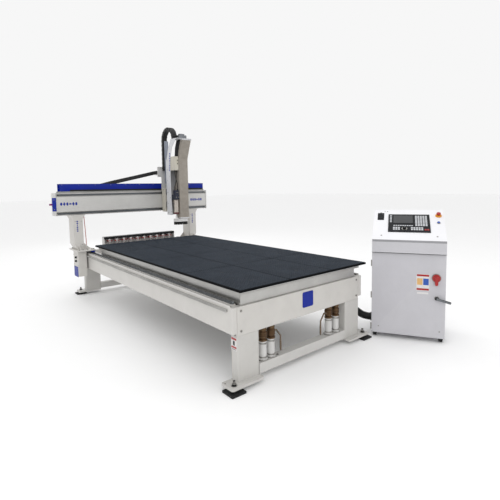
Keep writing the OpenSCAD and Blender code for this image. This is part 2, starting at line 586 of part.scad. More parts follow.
// Mounting plate on the cabinet's back wall, with the inverter, the servo drives, the contactors and a terminal row
plate_y = cabinet_d - sheet - 4;
module inner_plate() color("#b9b7b0") in_cabinet() union() {
    block([60, plate_y, 110], [cabinet_w - 60, plate_y + 4, 850]);
    block([100, 330, 540], [260, plate_y + eps, 800]);
    for (i = [0:3]) block([330 + i * 72, 360, 620], [390 + i * 72, plate_y + eps, 800]);
    for (i = [0:5]) block([110 + i * 84, 400, 330], [165 + i * 84, plate_y + eps, 420]);
    for (i = [0:8]) block([110 + i * 52, 430, 190], [150 + i * 52, plate_y + eps, 240]);
}

// ---- Conduit between the bed and the cabinet, from the cabinet's left side up under the right side beam ----
conduit_route = [[1871, 97, 158], [1846, 140, 158], [1819, 187, 170], [1794, 230, 200], [1765, 280, 240],
    [1727, 340, 275], [1680, 395, 300], [1628, 438, 325], [1588, 460, 355], [1570, 465, 400], [1570, 465, 439]];
module conduit() color("#141516") in_row_frame() sweep(smooth_route(conduit_route, 4), conduit_r, 12);

side_beams();
end_beams();
legs();
cross_tubes();
table_frame();
table_top();
levelling_feet();
y_rails();
y_racks();
suction_pipes();
valve_bodies();
valve_lever_left();
valve_lever_right();
tool_rack();
tool_forks();
tool_holders();
gantry_columns();
y_blocks();
gantry_beam();
beam_rails();
beam_rack();
beam_end_caps();
side_plates();
chain_tray();
drive_housings();
y_drives();
y_pinion_left();
y_pinion_right();
air_hose();
carriage_plate();
carriage_blocks();
chain_arm();
z_chain_guide();
x_drive();
x_chain();
z_column();
z_cover();
z_servo();
z_chain();
spindle_body();
junction_box();
valve_block();
shoe_cylinder();
spindle_hoses();
dust_shoe();
dust_brush();
spindle_nose();
cabinet_shell();
cabinet_door();
door_lever();
main_switch();
console();
control_panel();
override_knob();
estop_button();
reset_button();
power_switch();
casters();
inner_plate();
conduit();
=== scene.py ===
"""CNC router: the visual model, built around the CAD frame.

Shapes are drawn in millimetres in work coordinates: the table's near left corner is x = 0, y = 0, the floor is
z = 0, X runs across the table and Y along it. The cabinet and its sloping desk have places of their own.
"""

import json
import math
import random

import bmesh
import bpy
from mathutils import Matrix, Vector
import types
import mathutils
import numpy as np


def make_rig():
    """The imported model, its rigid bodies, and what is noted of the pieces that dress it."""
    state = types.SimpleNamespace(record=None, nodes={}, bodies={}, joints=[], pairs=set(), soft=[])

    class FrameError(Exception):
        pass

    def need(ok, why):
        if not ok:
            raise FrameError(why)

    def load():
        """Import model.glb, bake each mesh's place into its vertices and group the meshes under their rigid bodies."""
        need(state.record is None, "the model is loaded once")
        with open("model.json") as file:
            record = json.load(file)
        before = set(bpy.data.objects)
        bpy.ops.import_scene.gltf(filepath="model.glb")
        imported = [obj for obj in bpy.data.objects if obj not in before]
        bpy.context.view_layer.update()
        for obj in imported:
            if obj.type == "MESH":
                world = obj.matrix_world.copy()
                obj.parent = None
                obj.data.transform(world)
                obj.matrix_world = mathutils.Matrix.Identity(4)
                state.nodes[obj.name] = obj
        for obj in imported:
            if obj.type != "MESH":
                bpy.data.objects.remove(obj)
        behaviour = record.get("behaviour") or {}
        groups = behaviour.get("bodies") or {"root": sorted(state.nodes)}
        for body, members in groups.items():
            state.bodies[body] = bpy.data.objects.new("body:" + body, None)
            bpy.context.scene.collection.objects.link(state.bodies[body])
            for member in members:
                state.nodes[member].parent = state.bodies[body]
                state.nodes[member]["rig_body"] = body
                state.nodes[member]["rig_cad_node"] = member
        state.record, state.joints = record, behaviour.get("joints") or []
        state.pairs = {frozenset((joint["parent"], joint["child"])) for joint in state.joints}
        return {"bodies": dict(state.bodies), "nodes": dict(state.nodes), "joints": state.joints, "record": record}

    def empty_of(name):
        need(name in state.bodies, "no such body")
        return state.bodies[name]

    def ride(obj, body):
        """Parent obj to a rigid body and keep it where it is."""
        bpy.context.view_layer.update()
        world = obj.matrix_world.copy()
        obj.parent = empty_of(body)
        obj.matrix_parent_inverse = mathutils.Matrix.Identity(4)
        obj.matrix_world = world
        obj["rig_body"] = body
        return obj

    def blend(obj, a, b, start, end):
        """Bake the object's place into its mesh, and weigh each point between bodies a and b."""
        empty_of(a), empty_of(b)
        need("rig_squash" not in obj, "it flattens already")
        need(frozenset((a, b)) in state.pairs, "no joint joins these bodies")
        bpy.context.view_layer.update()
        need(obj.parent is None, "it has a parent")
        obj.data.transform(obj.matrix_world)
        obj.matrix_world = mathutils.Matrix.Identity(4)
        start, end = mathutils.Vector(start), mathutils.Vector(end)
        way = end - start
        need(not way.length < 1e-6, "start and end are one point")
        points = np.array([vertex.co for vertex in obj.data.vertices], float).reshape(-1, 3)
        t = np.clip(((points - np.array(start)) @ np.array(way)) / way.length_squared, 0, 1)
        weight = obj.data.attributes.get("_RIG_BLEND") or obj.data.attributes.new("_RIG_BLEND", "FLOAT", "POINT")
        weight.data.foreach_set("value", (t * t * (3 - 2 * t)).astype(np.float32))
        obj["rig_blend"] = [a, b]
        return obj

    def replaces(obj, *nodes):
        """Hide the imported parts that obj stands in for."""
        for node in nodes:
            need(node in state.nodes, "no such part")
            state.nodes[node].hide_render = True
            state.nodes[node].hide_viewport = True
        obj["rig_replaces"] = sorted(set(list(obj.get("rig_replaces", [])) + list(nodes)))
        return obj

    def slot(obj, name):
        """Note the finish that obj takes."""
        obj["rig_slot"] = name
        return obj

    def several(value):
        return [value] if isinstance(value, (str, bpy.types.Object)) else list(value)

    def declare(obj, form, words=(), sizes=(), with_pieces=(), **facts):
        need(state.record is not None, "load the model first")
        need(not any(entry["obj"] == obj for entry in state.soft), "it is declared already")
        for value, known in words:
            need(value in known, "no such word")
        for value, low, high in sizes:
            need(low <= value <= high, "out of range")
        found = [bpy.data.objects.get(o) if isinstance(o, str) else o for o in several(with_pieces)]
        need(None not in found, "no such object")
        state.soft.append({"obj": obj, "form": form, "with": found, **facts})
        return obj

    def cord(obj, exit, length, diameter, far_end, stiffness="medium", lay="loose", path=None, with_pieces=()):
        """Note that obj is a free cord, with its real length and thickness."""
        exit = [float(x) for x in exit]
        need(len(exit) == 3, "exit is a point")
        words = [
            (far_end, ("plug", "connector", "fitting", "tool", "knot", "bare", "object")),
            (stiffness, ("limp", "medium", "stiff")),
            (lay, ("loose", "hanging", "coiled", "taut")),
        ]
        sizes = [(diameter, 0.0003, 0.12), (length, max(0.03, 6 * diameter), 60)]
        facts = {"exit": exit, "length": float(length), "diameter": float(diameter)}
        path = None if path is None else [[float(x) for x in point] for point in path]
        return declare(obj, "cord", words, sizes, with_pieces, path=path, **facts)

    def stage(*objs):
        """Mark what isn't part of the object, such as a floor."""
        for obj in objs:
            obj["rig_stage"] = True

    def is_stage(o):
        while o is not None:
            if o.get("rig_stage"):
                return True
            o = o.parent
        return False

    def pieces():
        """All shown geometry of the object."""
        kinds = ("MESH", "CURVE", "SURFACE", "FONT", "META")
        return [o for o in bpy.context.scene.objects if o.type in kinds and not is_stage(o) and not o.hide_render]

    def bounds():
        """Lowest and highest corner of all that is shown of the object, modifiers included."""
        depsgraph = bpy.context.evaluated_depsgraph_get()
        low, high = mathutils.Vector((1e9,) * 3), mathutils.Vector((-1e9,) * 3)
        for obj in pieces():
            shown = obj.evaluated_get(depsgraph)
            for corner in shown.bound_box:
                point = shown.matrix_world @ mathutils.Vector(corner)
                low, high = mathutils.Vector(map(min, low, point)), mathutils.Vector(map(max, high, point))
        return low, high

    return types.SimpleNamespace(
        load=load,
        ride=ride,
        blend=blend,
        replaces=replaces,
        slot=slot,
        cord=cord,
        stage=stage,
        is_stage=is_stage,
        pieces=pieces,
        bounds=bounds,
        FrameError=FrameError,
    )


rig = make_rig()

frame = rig.load()
cad_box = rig.bounds()
scene = bpy.context.scene
rng = random.Random(7)

# ---- Places, in mm: the table, and the axes of upright or turning parts ----
CENTRE = Vector((1015.006, 1658.77, 0.0))
WORK = Matrix.Scale(0.001, 4) @ Matrix.Translation(-CENTRE)
CABINET = WORK @ Matrix.Translation((1732, 17, 0)) @ Matrix.Rotation(math.radians(-60), 4, "Z")
DESK = CABINET @ Matrix.Translation((0, -25, 1020)) @ Matrix.Rotation(math.atan2(269, 455), 4, "X")
TABLE_W, TABLE_L = 1600, 3220
BED_MID_Y = 1967.5
SPINDLE, CYLINDER, SHOE, X_MOTOR = (1330, 3115), (1212, 3120), (1277, 3112), (1350, 3498)
UP, DOWN, FRONT = (0, 0, 1), (0, 0, -1), (0, -1, 0)
DRIVE_Y, PINION_X = 3562, -79
RACK_PITCH = 7.854
DOOR_LEVER, MAIN_SWITCH = (610, 449), (604, 650)
STOP, RESET, KNOB = (640, 422), (634, 297), (308, 182)

# ---- Camera ----
EYE = (-1.7521, -2.2533, 1.563)
YAW, PITCH, ROLL = math.radians(39.628), math.radians(-4.61), math.radians(-0.849)
ahead = Vector((math.sin(YAW) * math.cos(PITCH), math.cos(YAW) * math.cos(PITCH), math.sin(PITCH)))
flat_right = Vector((math.cos(YAW), -math.sin(YAW), 0))
flat_up = flat_right.cross(ahead)
right = flat_right * math.cos(ROLL) + flat_up * math.sin(ROLL)
camera = bpy.data.objects.new("Camera", bpy.data.cameras.new("Camera"))
camera.matrix_world = Matrix.Translation(Vector(EYE) - CENTRE * 0.001) @ Matrix(
    (right, right.cross(-ahead) * -1, -ahead)).transposed().to_4x4()
camera.data.lens, camera.data.sensor_width = 28.21, 36
camera.data.shift_x, camera.data.shift_y = -0.0017, -0.0626
camera.data.clip_end = 200
scene.collection.objects.link(camera)
scene.camera = camera


# ---- Materials ----
class Nodes:
    """A material's node tree, with its shader and short ways to add to it."""

    def __init__(self, name):
        self.material = bpy.data.materials.new(name)
        self.material.use_nodes = True
        self.tree = self.material.node_tree
        self.shader = self.tree.nodes["Principled BSDF"]

    def add(self, kind, values=None, **settings):
        node = self.tree.nodes.new(kind)
        for key, value in settings.items():
            setattr(node, key, value)
        for key, value in (values or {}).items():
            node.inputs[key].default_value = value
        return node

    def link(self, source, target):
        self.tree.links.new(source, target)

    def noise(self, scale, detail=4.0, stretch=(1, 1, 1)):
        place = self.add("ShaderNodeTexCoord")
        spread = self.add("ShaderNodeMapping", {"Scale": stretch})
        noise = self.add("ShaderNodeTexNoise", {"Scale": scale, "Detail": detail, "Roughness": 0.6})
        self.link(place.outputs["Object"], spread.inputs["Vector"])
        self.link(spread.outputs["Vector"], noise.inputs["Vector"])
        return noise.outputs["Fac"]

    def span(self, value, low, high, to_low, to_high):
        node = self.add("ShaderNodeMapRange", {"From Min": low, "From Max": high,
                                               "To Min": to_low, "To Max": to_high})
        self.link(value, node.inputs["Value"])
        return node.outputs["Result"]

    def mix(self, fac, a, b):
        node = self.add("ShaderNodeMix", data_type="RGBA")
        self.link(fac, node.inputs["Factor"])
        for value, socket in ((a, node.inputs[6]), (b, node.inputs[7])):
            if isinstance(value, (tuple, list)):
                socket.default_value = (*value, 1)
            else:
                self.link(value, socket)
        return node.outputs[2]


GAMMA = 2.2


def tint(colour, k):
    return tuple(min(1.0, c * k) for c in colour)


def finish_of(name, srgb, rough, metal=0.0, vary=0.05, vary_scale=5.0, bump=0.0004, bump_scale=900.0,
              stretch=(1, 1, 1), dirt=0.1, dirt_colour=(0.12, 0.1, 0.08), wear_and_highlight=0.0, wear_and_highlight_colour=(0.7, 0.7, 0.7),
              coat=0.0, specular=0.5):
    """A surface with drifting tone, smudges, lighter edges and fine relief; its base colour is given from 0 to 255.
    Lighter edges stand for rubbed paint, and on the table's grid pads for a painted highlight.
    """
    colour = tuple((c / 255) ** GAMMA for c in srgb)
    n = Nodes(name)
    drift = n.span(n.noise(vary_scale, 5), 0.35, 0.65, 0, 1)
    shade = n.mix(drift, tint(colour, 1 - vary), tint(colour, 1 + vary))
    if dirt:
        smudge = n.span(n.noise(vary_scale * 3.1, 8), 0.55, 0.8, 0, dirt)
        shade = n.mix(smudge, shade, dirt_colour)
    if wear_and_highlight:
        # Lighter convex edges: rubbed paint, and on the grid pads a painted highlight.
        edge = n.add("ShaderNodeNewGeometry")
        lit_and_rubbed_edge = n.span(edge.outputs["Pointiness"], 0.53, 0.6, 0, wear_and_highlight)
        shade = n.mix(lit_and_rubbed_edge, shade, wear_and_highlight_colour)
    n.link(shade, n.shader.inputs["Base Color"])
    n.link(n.span(n.noise(bump_scale * 0.12, 3, stretch), 0.3, 0.7, max(0.03, rough - 0.08), rough + 0.08),
           n.shader.inputs["Roughness"])
    relief = n.add("ShaderNodeBump", {"Strength": 0.6, "Distance": bump})
    n.link(n.noise(bump_scale, 3, stretch), relief.inputs["Height"])
    n.link(relief.outputs["Normal"], n.shader.inputs["Normal"])
    n.shader.inputs["Metallic"].default_value = metal
    n.shader.inputs["Coat Weight"].default_value = coat
    n.shader.inputs["Specular IOR Level"].default_value = specular
    return n.material


BRUSHED_X, BRUSHED_Y = (1, 30, 30), (30, 1, 30)
SMALL = {"vary_scale": 60, "bump": 0.0001}
SOOT, DUST, ASH = (0.012, 0.014, 0.017), (0.1, 0.1, 0.1), (0.03, 0.03, 0.03)
MAT = {
    "paint": finish_of("Frame_paint", (196, 193, 188), 0.42, vary=0.03, dirt=0.07, bump=0.0003, wear_and_highlight=0.25),
    # The legs' finish is the frame paint made a little darker: painted shade for the legs' shaded faces.
    "leg": finish_of("Leg_paint_painted_shade", (191, 189, 185), 0.45, vary=0.03, dirt=0.08, bump=0.0003, wear_and_highlight=0.25),
    "plate": finish_of("Table_laminate", (12, 14, 17), 0.62, vary=0.1, vary_scale=9, bump=0.0005, bump_scale=500,
        dirt=0.2, dirt_colour=SOOT, specular=0.06),
    "alu": finish_of("Table_aluminium", (184, 183, 180), 0.38, 0.85, stretch=BRUSHED_X, bump_scale=260, bump=0.0002),
    # The grid tops are the black laminate painted a lighter grey-blue, as if lit from above, and their lighter edges
    # are painted highlights.
    "pad": finish_of("Laminate_painted_lit_top", (52, 58, 66), 0.66, vary=0.14, vary_scale=7, bump=0.0005, bump_scale=500,
        dirt=0.25, dirt_colour=SOOT, wear_and_highlight=0.15, wear_and_highlight_colour=(0.1, 0.11, 0.13), specular=0.06),
    "maroon": finish_of("Maroon_paint", (92, 26, 30), 0.4, vary=0.1, dirt=0.2),
    "tool": finish_of("Tool_steel", (214, 208, 206), 0.4, 0.35, vary=0.06, **SMALL),
    # The trim finish is a painted shadow: the grey band under the console's rounded front edge.
    "trim": finish_of("Shadow_grey", (146, 146, 149), 0.5, vary=0.03, bump=0.0003),
    "rubber": finish_of("Pad_rubber", (18, 19, 21), 0.78, vary=0.15, dirt=0.25, dirt_colour=(0.1, 0.1, 0.09)),
    "rail": finish_of("Guide_rail", (118, 121, 124), 0.28, 1.0, stretch=BRUSHED_Y, bump_scale=200, bump=0.0001),
    "rail_x": finish_of("Cross_rail", (96, 99, 102), 0.32, 1.0, stretch=BRUSHED_X, bump_scale=200, bump=0.0001),
    "rack": finish_of("Rack_steel", (166, 165, 162), 0.42, 0.4, vary=0.12, dirt=0.2, dirt_colour=ASH),
    "pipe": finish_of("Pipe_paint", (200, 199, 197), 0.4, vary=0.05, dirt=0.12),
    "brass": finish_of("Valve_brass", (80, 60, 42), 0.48, 0.75, vary=0.3, vary_scale=40, dirt=0.5,
        dirt_colour=(0.05, 0.035, 0.025), bump=0.001, bump_scale=350, wear_and_highlight=0.5, wear_and_highlight_colour=(0.5, 0.36, 0.2)),
    "steel": finish_of("Zinc_steel", (150, 148, 144), 0.35, 0.95, vary=0.1, vary_scale=60, dirt=0.2),
    "handle": finish_of("Lever_steel", (120, 106, 92), 0.42, 0.8, vary=0.2, vary_scale=40, dirt=0.3),
    "white": finish_of("White_paint", (206, 205, 203), 0.4, vary=0.03, dirt=0.06, wear_and_highlight=0.2),
    "red": finish_of("Red_plastic", (160, 20, 20), 0.35, vary=0.06, vary_scale=30, bump=0.0002, dirt=0.1, coat=0.2),
    "chrome": finish_of("Ground_steel", (200, 202, 205), 0.2, 1.0, vary=0.06, vary_scale=50, stretch=(1, 1, 40),
        bump_scale=150, bump=0.0001),
    "beam": finish_of("Beam_paint", (196, 195, 192), 0.4, 0.1, vary=0.03, dirt=0.07, stretch=BRUSHED_X, bump=0.0003),
    "blue": finish_of("Blue_paint", (10, 34, 136), 0.34, vary=0.07, dirt=0.05, wear_and_highlight=0.3,
        wear_and_highlight_colour=(0.06, 0.1, 0.35), specular=0.15),
    "black": finish_of("Black_paint", (16, 17, 19), 0.42, vary=0.12, dirt=0.2, dirt_colour=ASH, wear_and_highlight=0.15,
        wear_and_highlight_colour=(0.12, 0.12, 0.13), specular=0.2),
    "hose": finish_of("Red_hose", (176, 84, 78), 0.35, vary=0.08, **SMALL),
    "beige": finish_of("Beige_paint", (186, 180, 164), 0.42, vary=0.06, dirt=0.14, wear_and_highlight=0.3),
    "guide": finish_of("Blue_grey_paint", (132, 142, 160), 0.42, vary=0.06, dirt=0.12, wear_and_highlight=0.3),
    "chain": finish_of("Chain_nylon", (14, 14, 16), 0.5, vary=0.15, vary_scale=40, dirt=0.2,
        dirt_colour=(0.08, 0.08, 0.08), bump=0.0003, bump_scale=600),
    "slide": finish_of("Slide_paint", (206, 207, 210), 0.38, vary=0.04, dirt=0.08, wear_and_highlight=0.3),
    "bellows": finish_of("Cover_fabric", (158, 151, 142), 0.7, vary=0.08, vary_scale=18, bump=0.0008, bump_scale=700,
        dirt=0.2),
    "servo": finish_of("Cast_aluminium", (120, 123, 127), 0.45, 0.7, vary=0.12, vary_scale=30, bump=0.001,
        bump_scale=500),
    "spindle": finish_of("Anodised_spindle", (190, 182, 174), 0.3, 0.9, vary=0.06, stretch=(1, 1, 30),
        bump_scale=150, bump=0.0001),
    "dark": finish_of("Dark_plastic", (24, 30, 50), 0.42, vary=0.15, vary_scale=30, dirt=0.15,
        dirt_colour=(0.1, 0.1, 0.12)),
    "tube": finish_of("Black_hose", (18, 18, 20), 0.4, vary=0.12, vary_scale=30, bump=0.0003, bump_scale=500),
    "shoe": finish_of("Shoe_plastic", (214, 213, 212), 0.3, vary=0.04, dirt=0.12, coat=0.2),
    "bristle": finish_of("Brush_nylon", (12, 12, 13), 0.6, vary=0.3, vary_scale=90, stretch=(20, 20, 1), bump=0.001,
        bump_scale=300),
    "cabinet": finish_of("Cabinet_powder", (189, 188, 193), 0.5, vary=0.025, dirt=0.05, bump=0.0005, bump_scale=1400,
        wear_and_highlight=0.2),
    "console": finish_of("Console_powder", (234, 234, 237), 0.45, vary=0.015, dirt=0.03, bump=0.0005,
        bump_scale=1400, wear_and_highlight=0.1),
    "panel": finish_of("Panel_foil", (18, 20, 26), 0.35, vary=0.08, vary_scale=20, bump=0.0002, dirt=0.1,
        dirt_colour=DUST, specular=0.2),
    "key": finish_of("Key_white", (196, 198, 202), 0.4, vary=0.05, **SMALL, dirt=0.08),
    "yellow": finish_of("Yellow_plastic", (214, 140, 30), 0.4, vary=0.06, vary_scale=40, bump=0.0002),
    "amber": finish_of("Label_amber", (214, 170, 110), 0.5, vary=0.05, **SMALL),
    "label": finish_of("Label_white", (216, 214, 213), 0.5, vary=0.03, **SMALL),
    "button": finish_of("Blue_plastic", (24, 78, 168), 0.32, vary=0.05, **SMALL, coat=0.3),
    "galvanised": finish_of("Galvanised_plate", (176, 176, 172), 0.45, 0.6, vary=0.12, vary_scale=25, bump=0.0003),
    "conduit": finish_of("Conduit_plastic", (16, 16, 17), 0.45, vary=0.15, vary_scale=25, bump=0.0002, dirt=0.15,
        dirt_colour=(0.09, 0.09, 0.09)),
    # Dark plugs, knockouts and gaskets, and painted shade: the strips beside the rails, the hollow by the Z cover and
    # the louvre slots.
    "dark_and_shade": finish_of("Dark_parts_and_painted_shade", (22, 23, 25), 0.8, vary=0.1, dirt=0.1),
}


def screen_glass():
    """Dark display glass with a soft lighter field behind it."""
    n = Nodes("Display_glass")
    n.link(n.mix(n.span(n.noise(14, 2), 0.3, 0.7, 0, 1), (0.006, 0.007, 0.011), (0.014, 0.016, 0.022)),
           n.shader.inputs["Base Color"])
    n.link(n.span(n.noise(40, 3), 0.3, 0.7, 0.08, 0.14), n.shader.inputs["Roughness"])
    n.shader.inputs["Coat Weight"].default_value = 0.6
    return n.material


MAT["screen"] = screen_glass()


# ---- Modelling ----
def soften(obj, bevel, weld=False):
    """Rounded edges and clean shading."""
    if weld:
        obj.modifiers.new("Weld", "WELD").merge_threshold = 0.00001
        flat = obj.modifiers.new("Flat", "DECIMATE")
        flat.decimate_type, flat.angle_limit = "DISSOLVE", math.radians(0.6)
    if bevel:
        edge = obj.modifiers.new("Bevel", "BEVEL")
        edge.width, edge.segments, edge.limit_method = bevel * 0.001, 2, "ANGLE"
        edge.angle_limit = math.radians(32)
    obj.data.shade_smooth()
    if bevel:
        obj.modifiers.new("Normals", "WEIGHTED_NORMAL").keep_sharp = True
    else:
        obj.data.set_sharp_from_angle(angle=math.radians(32))


def carry(node, finish, bevel=1.5):
    """Shows a CAD node with a finish and rounded edges."""
    obj = frame["nodes"][node]
    obj.data.materials.clear()
    obj.data.materials.append(MAT[finish])
    for name in ("custom_normal", "sharp_edge"):
        layer = obj.data.attributes.get(name)
        if layer:
            obj.data.attributes.remove(layer)
    soften(obj, bevel, weld=True)


class Shape:
    """A mesh drawn from parts in one place."""

    def __init__(self, place=WORK):
        self.bm, self.place = bmesh.new(), place

    def put(self, points, faces):
        verts = [self.bm.verts.new(self.place @ Vector(p)) for p in points]
        for face in faces:
            self.bm.faces.new([verts[i] for i in face])
        return self

    def box(self, lo, hi):
        points = [(x, y, z) for z in (lo[2], hi[2]) for x, y in
                  ((lo[0], lo[1]), (hi[0], lo[1]), (hi[0], hi[1]), (lo[0], hi[1]))]
        return self.put(points, [(3, 2, 1, 0), (4, 5, 6, 7), (0, 1, 5, 4), (1, 2, 6, 5), (2, 3, 7, 6), (3, 0, 4, 7)])

    def skin(self, rings, capped=True, looped=False):
        """Quads between rings of equal count."""
        k, last = len(rings[0]), len(rings) - 1
        faces = [(i * k + j, i * k + (j + 1) % k, (i + 1) * k + (j + 1) % k, (i + 1) * k + j)
                 for i in range(last) for j in range(k)]
        if looped:
            faces += [(last * k + j, last * k + (j + 1) % k, (j + 1) % k, j) for j in range(k)]
        elif capped:
            faces += [tuple(range(k - 1, -1, -1)), tuple(last * k + j for j in range(k))]
        return self.put([p for ring in rings for p in ring], faces)

    def turned(self, at, axis, profile, n=32):
        """A turned part: (radius, height) pairs about an axis from a point."""
        axis = Vector(axis).normalized()
        side = axis.orthogonal().normalized()
        other = axis.cross(side)
        return self.skin([[Vector(at) + axis * h + (side * math.cos(a) + other * math.sin(a)) * max(r, 0.01)
                           for a in (math.tau * i / n for i in range(n))] for r, h in profile])

    def slab(self, outline, lo, hi, axis):
        """An outline in the two other coordinates, drawn out along an axis (0, 1 or 2)."""
        def at(p, d):
            p = list(p)
            p.insert(axis, d)
            return p
        return self.skin([[at(p, lo) for p in outline], [at(p, hi) for p in outline]])

    def tube(self, path, radii, n=12):
        """A tube along a path; radii is one number, or one for each point."""
        path = [Vector(p) for p in path]
        side, rings = None, []
        for i, p in enumerate(path):
            ahead = (path[min(i + 1, len(path) - 1)] - path[max(i - 1, 0)]).normalized()
            side = (ahead.orthogonal() if side is None else side - ahead * side.dot(ahead)).normalized()
            other = ahead.cross(side)
            r = radii[i] if isinstance(radii, (list, tuple)) else radii
            rings.append([p + (side * math.cos(a) + other * math.sin(a)) * r
                          for a in (math.tau * j / n for j in range(n))])
        return self.skin(rings)

    def screw(self, at, axis, r=5.0, h=None):
        """A socket-head cap screw on a washer."""
        h = h or r * 0.9
        self.turned(at, axis, [(r * 1.5, 0), (r * 1.5, 0.9), (r, 0.9), (r, h - 0.7), (r - 0.7, h), (r * 0.55, h),
                               (r * 0.5, h * 0.45)], 16)
        return self

    def hex_bolt(self, at, axis, r=9.0, h=8.0):
        self.turned(at, axis, [(r * 1.45, 0), (r * 1.45, 1.6)], 20)
        return self.turned(Vector(at) + Vector(axis).normalized() * 1.6, axis, [(r, 0), (r, h - 1), (r * 0.88, h)], 6)

    def done(self, name, body, finish, bevel=0.8, slot=None, nodes=()):
        mesh = bpy.data.meshes.new(name)
        bmesh.ops.recalc_face_normals(self.bm, faces=self.bm.faces)
        self.bm.to_mesh(mesh)
        self.bm.free()
        obj = bpy.data.objects.new(name, mesh)
        scene.collection.objects.link(obj)
        mesh.materials.append(MAT[finish])
        soften(obj, bevel)
        if body:
            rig.ride(obj, body)
        if nodes:
            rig.replaces(obj, *nodes)
        if slot:
            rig.slot(obj, slot)
        return obj


def both_ends(y):
    return (y, 2 * BED_MID_Y - y)


def smooth_path(points, step):
    """Points spaced by about step along a soft curve through a coarse route."""
    pts = [Vector(p) for p in points]
    pts = [pts[0] * 2 - pts[1]] + pts + [pts[-1] * 2 - pts[-2]]
    out = []
    for a, b, c, d in zip(pts, pts[1:], pts[2:], pts[3:]):
        count = max(2, round((c - b).length / step))
        for i in range(count):
            t = i / count
            out.append(0.5 * (2 * b + (c - a) * t + (2 * a - 5 * b + 4 * c - d) * t * t
                              + (3 * b - a - 3 * c + d) * t ** 3))
    return out + [pts[-2]]


# ---- CAD nodes that are shown as they are, with their finish and the width of their rounded edges ----
CARRIED = {
    "side_beams": ("paint", 3), "end_beams": ("paint", 3), "legs": ("leg", 3), "cross_tubes": ("leg", 2),
    "table_frame": ("alu", 2), "levelling_feet": ("rubber", 1.5), "y_rails": ("rail", 0.6),
    "suction_pipes": ("pipe", 1), "valve_bodies": ("brass", 1.5), "valve_lever_left": ("handle", 0),
    "valve_lever_right": ("handle", 0), "tool_rack": ("white", 1.5), "tool_forks": ("red", 1),
    "gantry_columns": ("paint", 3), "y_blocks": ("rail", 1.5), "gantry_beam": ("beam", 3),
    "beam_rails": ("rail_x", 0.6), "beam_end_caps": ("white", 3), "side_plates": ("blue", 1),
    "chain_tray": ("blue", 0.8), "drive_housings": ("paint", 2), "y_drives": ("black", 2),
    "y_pinion_left": ("rail", 0.5), "y_pinion_right": ("rail", 0.5), "carriage_plate": ("beige", 2),
    "carriage_blocks": ("rail", 1.5), "chain_arm": ("white", 1), "z_chain_guide": ("guide", 1),
    "x_drive": ("black", 2), "z_column": ("slide", 2), "z_servo": ("servo", 2), "spindle_body": ("spindle", 2),
    "junction_box": ("beige", 2), "valve_block": ("dark", 2), "shoe_cylinder": ("spindle", 1.5),
    "dust_shoe": ("shoe", 2), "spindle_nose": ("chrome", 1), "cabinet_shell": ("cabinet", 2),
    "cabinet_door": ("cabinet", 1), "door_lever": ("black", 1.5), "main_switch": ("red", 2),
    "console": ("console", 2), "control_panel": ("panel", 1), "override_knob": ("black", 1),
    "estop_button": ("red", 1.5), "reset_button": ("button", 1), "power_switch": ("panel", 1),
    "casters": ("rubber", 1.5), "inner_plate": ("galvanised", 1.5),
}
for node_name, (finish, bevel) in CARRIED.items():
    carry(node_name, finish, bevel)


# ---- Cords: the conduit, the air line and the two spindle hoses ----
def corrugated(name, route, radius, pitch, depth, finish):
    """A ribbed tube along a route."""
    path = smooth_path(route, pitch / 4)
    radii = [radius - (depth if i % 4 in (1, 2) else 0) for i in range(len(path))]
    obj = Shape().tube(path, radii, 24).done(name, "bed", finish, 0)
    return obj, [WORK @ p for p in path]


def length_of(path):
    return sum((b - a).length for a, b in zip(path, path[1:]))


CONDUIT = [(1871, 97, 158), (1846, 140, 158), (1819, 187, 170), (1794, 230, 200), (1765, 280, 240), (1727, 340, 275),
           (1680, 395, 300), (1628, 438, 325), (1588, 460, 355), (1570, 465, 400), (1570, 465, 439)]
conduit, conduit_path = corrugated("Conduit", CONDUIT, 40, 10, 3.5, "conduit")
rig.replaces(conduit, "conduit")
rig.slot(conduit, "conduit_black")
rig.cord(conduit, conduit_path[0], length_of(conduit_path), 0.08, "object", "stiff", "loose", path=conduit_path)


def hose(name, route, radius, body, finish):
    """A plain hose as a mesh tube, declared as a cord that follows its path."""
    path = smooth_path(route, 12)
    obj = Shape().tube(path, radius, 14).done(name, body, finish, 0)
    world = [WORK @ p for p in path]
    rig.cord(obj, world[0], length_of(world), radius * 0.002, "object", "medium", "hanging", path=world)
    return obj


air_hose = hose("Air_hose", [(-24, 3575, 1210), (-24, 3575, 1150), (-18, 3568, 1000), (-14, 3562, 860),
                             (-14, 3560, 780), (-14, 3560, 720)], 5, "gantry", "hose")
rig.replaces(air_hose, "air_hose")
hose_a = hose("Spindle_hose_a", [(1195, 3100, 1835), (1195, 3100, 1790), (1200, 3096, 1740), (1218, 3092, 1660),
                                 (1227, 3097, 1590), (1228, 3098, 1532)], 6, "z_slide", "tube")
hose("Spindle_hose_b", [(1235, 3130, 1835), (1235, 3130, 1790), (1231, 3126, 1720), (1213, 3124, 1640),
                        (1201, 3128, 1580), (1200, 3128, 1532)], 6, "z_slide", "tube")
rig.replaces(hose_a, "spindle_hoses")
ends = Shape().turned((1862, 113, 158), (25, -43, 0), [(41, 0), (46, 2), (46, 16), (52, 17), (52, 24), (41, 24)])
ends.turned((1570, 465, 424), UP, [(41, 0), (46, 2), (46, 10), (52, 11), (52, 15)])
ends.done("Conduit_collars", "bed", "conduit", 0.8)
ends = Shape()
for x, y, z, d in ((-24, 3575, 1209, -1), (-14, 3560, 721, 1)):
    ends.turned((x, y, z), (0, 0, d), [(9, 0), (9, 9), (6.4, 10), (6.4, 18), (5.2, 19)], 12)
ends.done("Air_hose_fittings", "gantry", "steel", 0.4)
ends = Shape()
for x, y in ((1195, 3100), (1235, 3130)):
    ends.turned((x, y, 1835), DOWN, [(11, 0), (11, 10), (8, 11), (8, 24), (6.2, 26)], 12)
